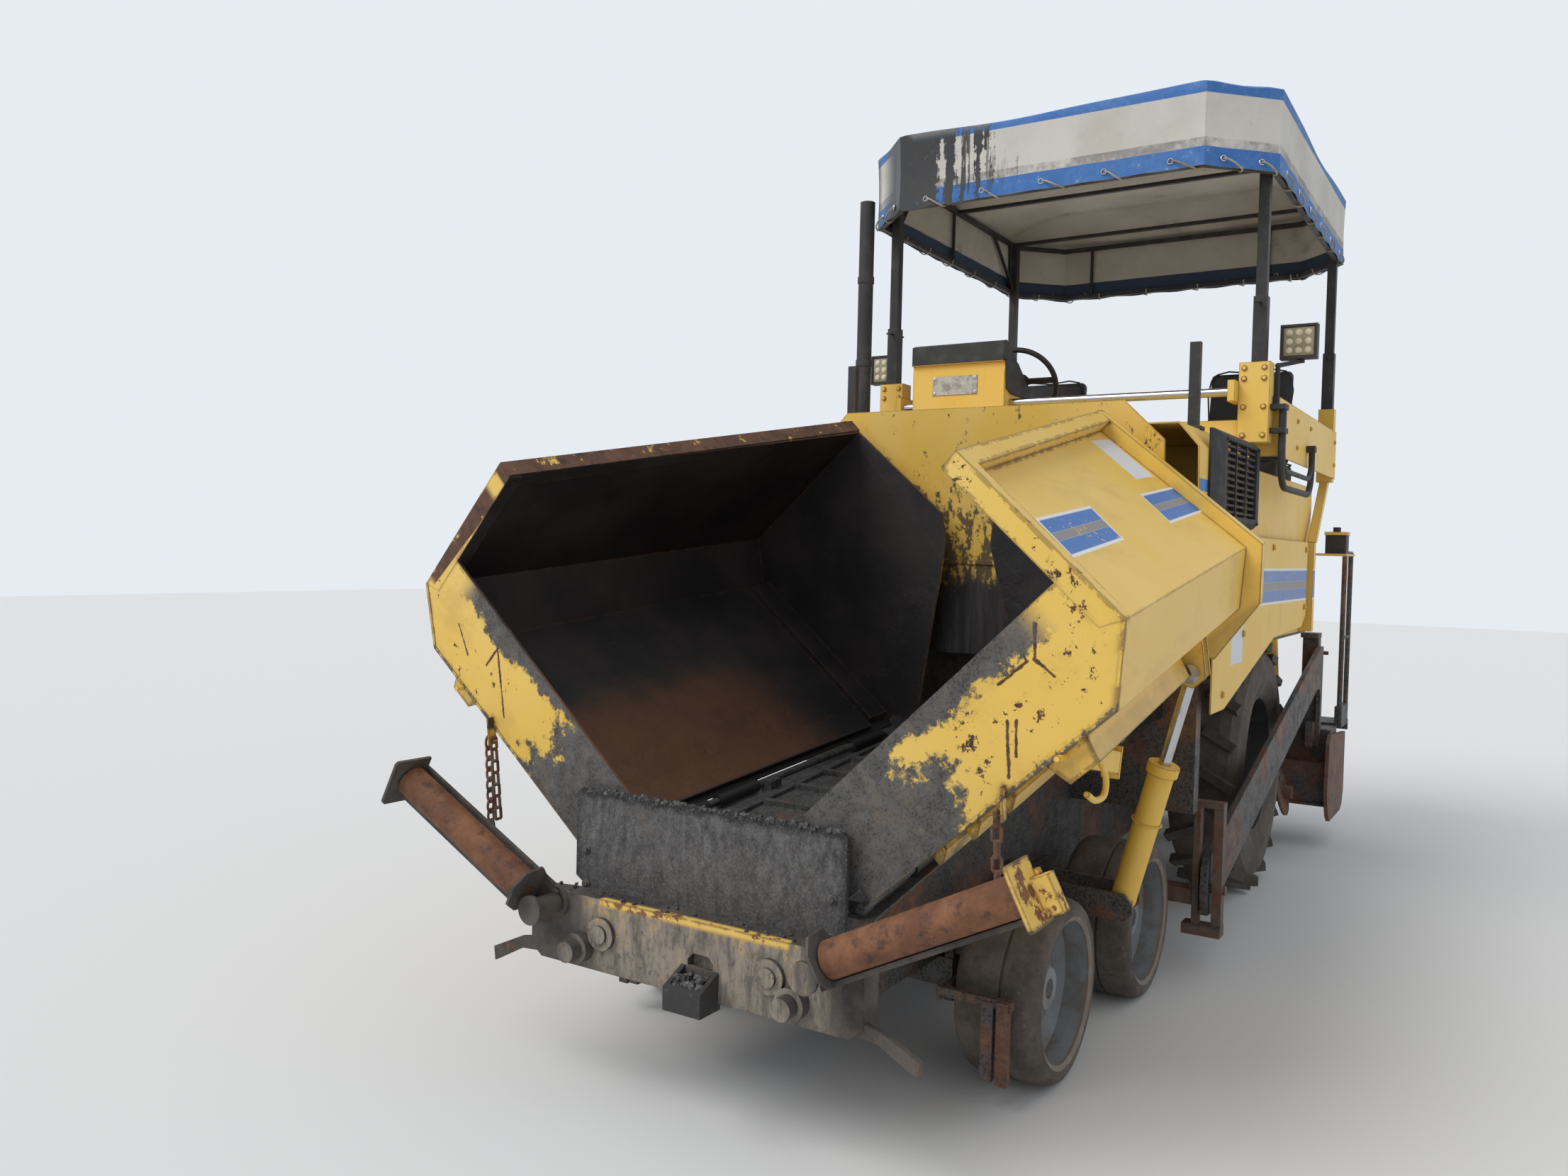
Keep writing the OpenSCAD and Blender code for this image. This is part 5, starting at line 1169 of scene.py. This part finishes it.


# hose that loops from the foot of each pipe to the axle beam
def buildCylinderHoses():
    for side, word in sides:
        middle, way, back = barrel(side)
        start = middle + way * (cylinder["pipeRun"][1] + cylinder["hoseStart"]) + back * cylinder["pipeOut"]
        line = smoothLine([start] + [start + Vector(step) * Vector((1, side, 1)) for step in cylinder["hose"]])
        length = sum((b - a).length for a, b in zip(line, line[1:]))
        hose = pipe(line, cylinder["hoseRadius"], 8, straight=True)
        settle(hose, word + "CylinderHose", "hose", None, 60)
        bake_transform(hose)
        print("hose", word, "length", round(length, 3), "ends at", [round(value, 3) for value in line[-1]])


buildCylinderHoses()

lockPin = {"height": 2.69, "front": (-0.252, 0.873), "rear": (-1.882, 0.905), "half": 0.062, "radius": 0.006,
    "handle": 0.016}


# pins through the canopy posts that hold the telescoped tubes
def buildLockPins():
    parts = []
    for x, y in (lockPin["front"], lockPin["rear"]):
        for side in (1, -1):
            middle, half = Vector((x, side * y, lockPin["height"])), Vector((lockPin["half"], 0, 0))
            start, end = middle - half, middle + half
            parts.append(rod(start, end, lockPin["radius"], 10, 0.001))
            for place in (start, end):
                arm = Vector((0, lockPin["handle"], 0))
                parts.append(rod(place - arm, place + arm, lockPin["radius"] * 0.8, 10, 0.001))
    settle(joined(parts), "postLockPins", "black", "post_tubes")


buildLockPins()

# loose asphalt: how many lumps, the box they lie in and their sizes
asphalt = {
    "apronTopCrust": ("front_apron", 150, (2.479, -0.452, 0.872), (2.491, 0.452, 0.884), (0.004, 0.011)),
    "scoopAsphalt": ("push_beam", 80, (2.575, 0.016, 0.4), (2.632, 0.104, 0.458), (0.009, 0.017)),
    "beamAsphalt": ("push_beam", 40, (2.5, -0.55, 0.592), (2.56, 0.55, 0.596), (0.004, 0.009)),
}
lumpShape = {"dents": (0.72, 1.12), "wide": (0.7, 1.1), "high": (0.5, 0.9)}


# squashed lumps along the front plate's top edge, in the hitch scoop and on the beam
def buildAsphalt():
    for name, (node, count, low, high, sizes) in asphalt.items():
        clearSelection()
        bpy.ops.mesh.primitive_ico_sphere_add(subdivisions=2, radius=1)
        lump = bpy.context.object
        for vertex in lump.data.vertices:
            vertex.co *= random.uniform(*lumpShape["dents"])
        places = []
        for _ in range(count):
            point = [random.uniform(a, b) for a, b in zip(low, high)]
            size = random.uniform(*sizes)
            way = [random.uniform(-1, 1) for _ in range(3)]
            wide, tall = (size * random.uniform(*lumpShape[key]) for key in ("wide", "high"))
            places.append((point, way, (size, wide, tall)))
        spread(lump, name, "asphalt", node, places, smooth=0)


buildAsphalt()

chain = {"top": (2.452, -0.874, 0.965), "pitch": 0.034, "count": 9, "radius": 0.0125, "wire": 0.0042,
    "lean": 0.002, "long": 1.65}


# the second strand that hangs beside the right chain
def buildChain():
    link, top = torus(chain["radius"], chain["wire"], 14, rotation=(math.pi / 2, 0, 0)), Vector(chain["top"])
    places = [(top - Vector((chain["lean"] * i, 0, chain["pitch"] * i)), (0, 0, 1), (1, 1, chain["long"]))
        for i in range(chain["count"])]
    cross = linked("crossLink", link.data.copy())
    cross.matrix_world = Matrix.Rotation(math.pi / 2, 4, "Z") @ link.matrix_world
    spread(link, "rightChainStrandLinks", "greyRust", "wing_chain_right", places[::2])
    spread(cross, "rightChainStrandCrossLinks", "greyRust", "wing_chain_right", places[1::2])


buildChain()
print("hooks, pipes, asphalt and chain made")


# floor, lights and background
studio = {
    "floorSize": 60, "floor": (0.74, 0.73, 0.71), "sky": (0.8, 0.84, 0.9), "skyLight": 0.75, "sun": 1.6,
    "sunWide": 35, "sunTurn": (42, 0, 60),
}


def buildStudio():
    bpy.ops.mesh.primitive_plane_add(size=studio["floorSize"], location=(0, 0, 0))
    floor = bpy.context.object
    floor.name = "studioFloor"
    f = Finish("paleFloor", 0.9)
    f.colour = f.mix(f.noise(3, 3) * 0.1, studio["floor"], (0.7, 0.69, 0.67))
    floor.data.materials.append(f.finish())
    world = bpy.data.worlds.new("softSky")
    bpy.context.scene.world = world
    world.use_nodes = True
    tree = world.node_tree
    seen = tree.nodes.new("ShaderNodeLightPath")
    rays = ("Is Camera Ray", "Is Glossy Ray", "Is Transmission Ray")
    shows = strongest([Wire(seen.outputs[kind]) for kind in rays])
    back = tree.nodes["Background"]
    back.inputs["Color"].default_value = (*studio["sky"], 1)
    feed(back.inputs["Strength"], studio["skyLight"] + shows * (1.0 - studio["skyLight"]))
    sun = bpy.data.lights.new("softSun", "SUN")
    sun.energy, sun.angle = studio["sun"], math.radians(studio["sunWide"])
    linked("softSun", sun).rotation_euler = [math.radians(turn) for turn in studio["sunTurn"]]


buildStudio()
bpy.context.scene.view_settings.view_transform = "Standard"
print("studio built")
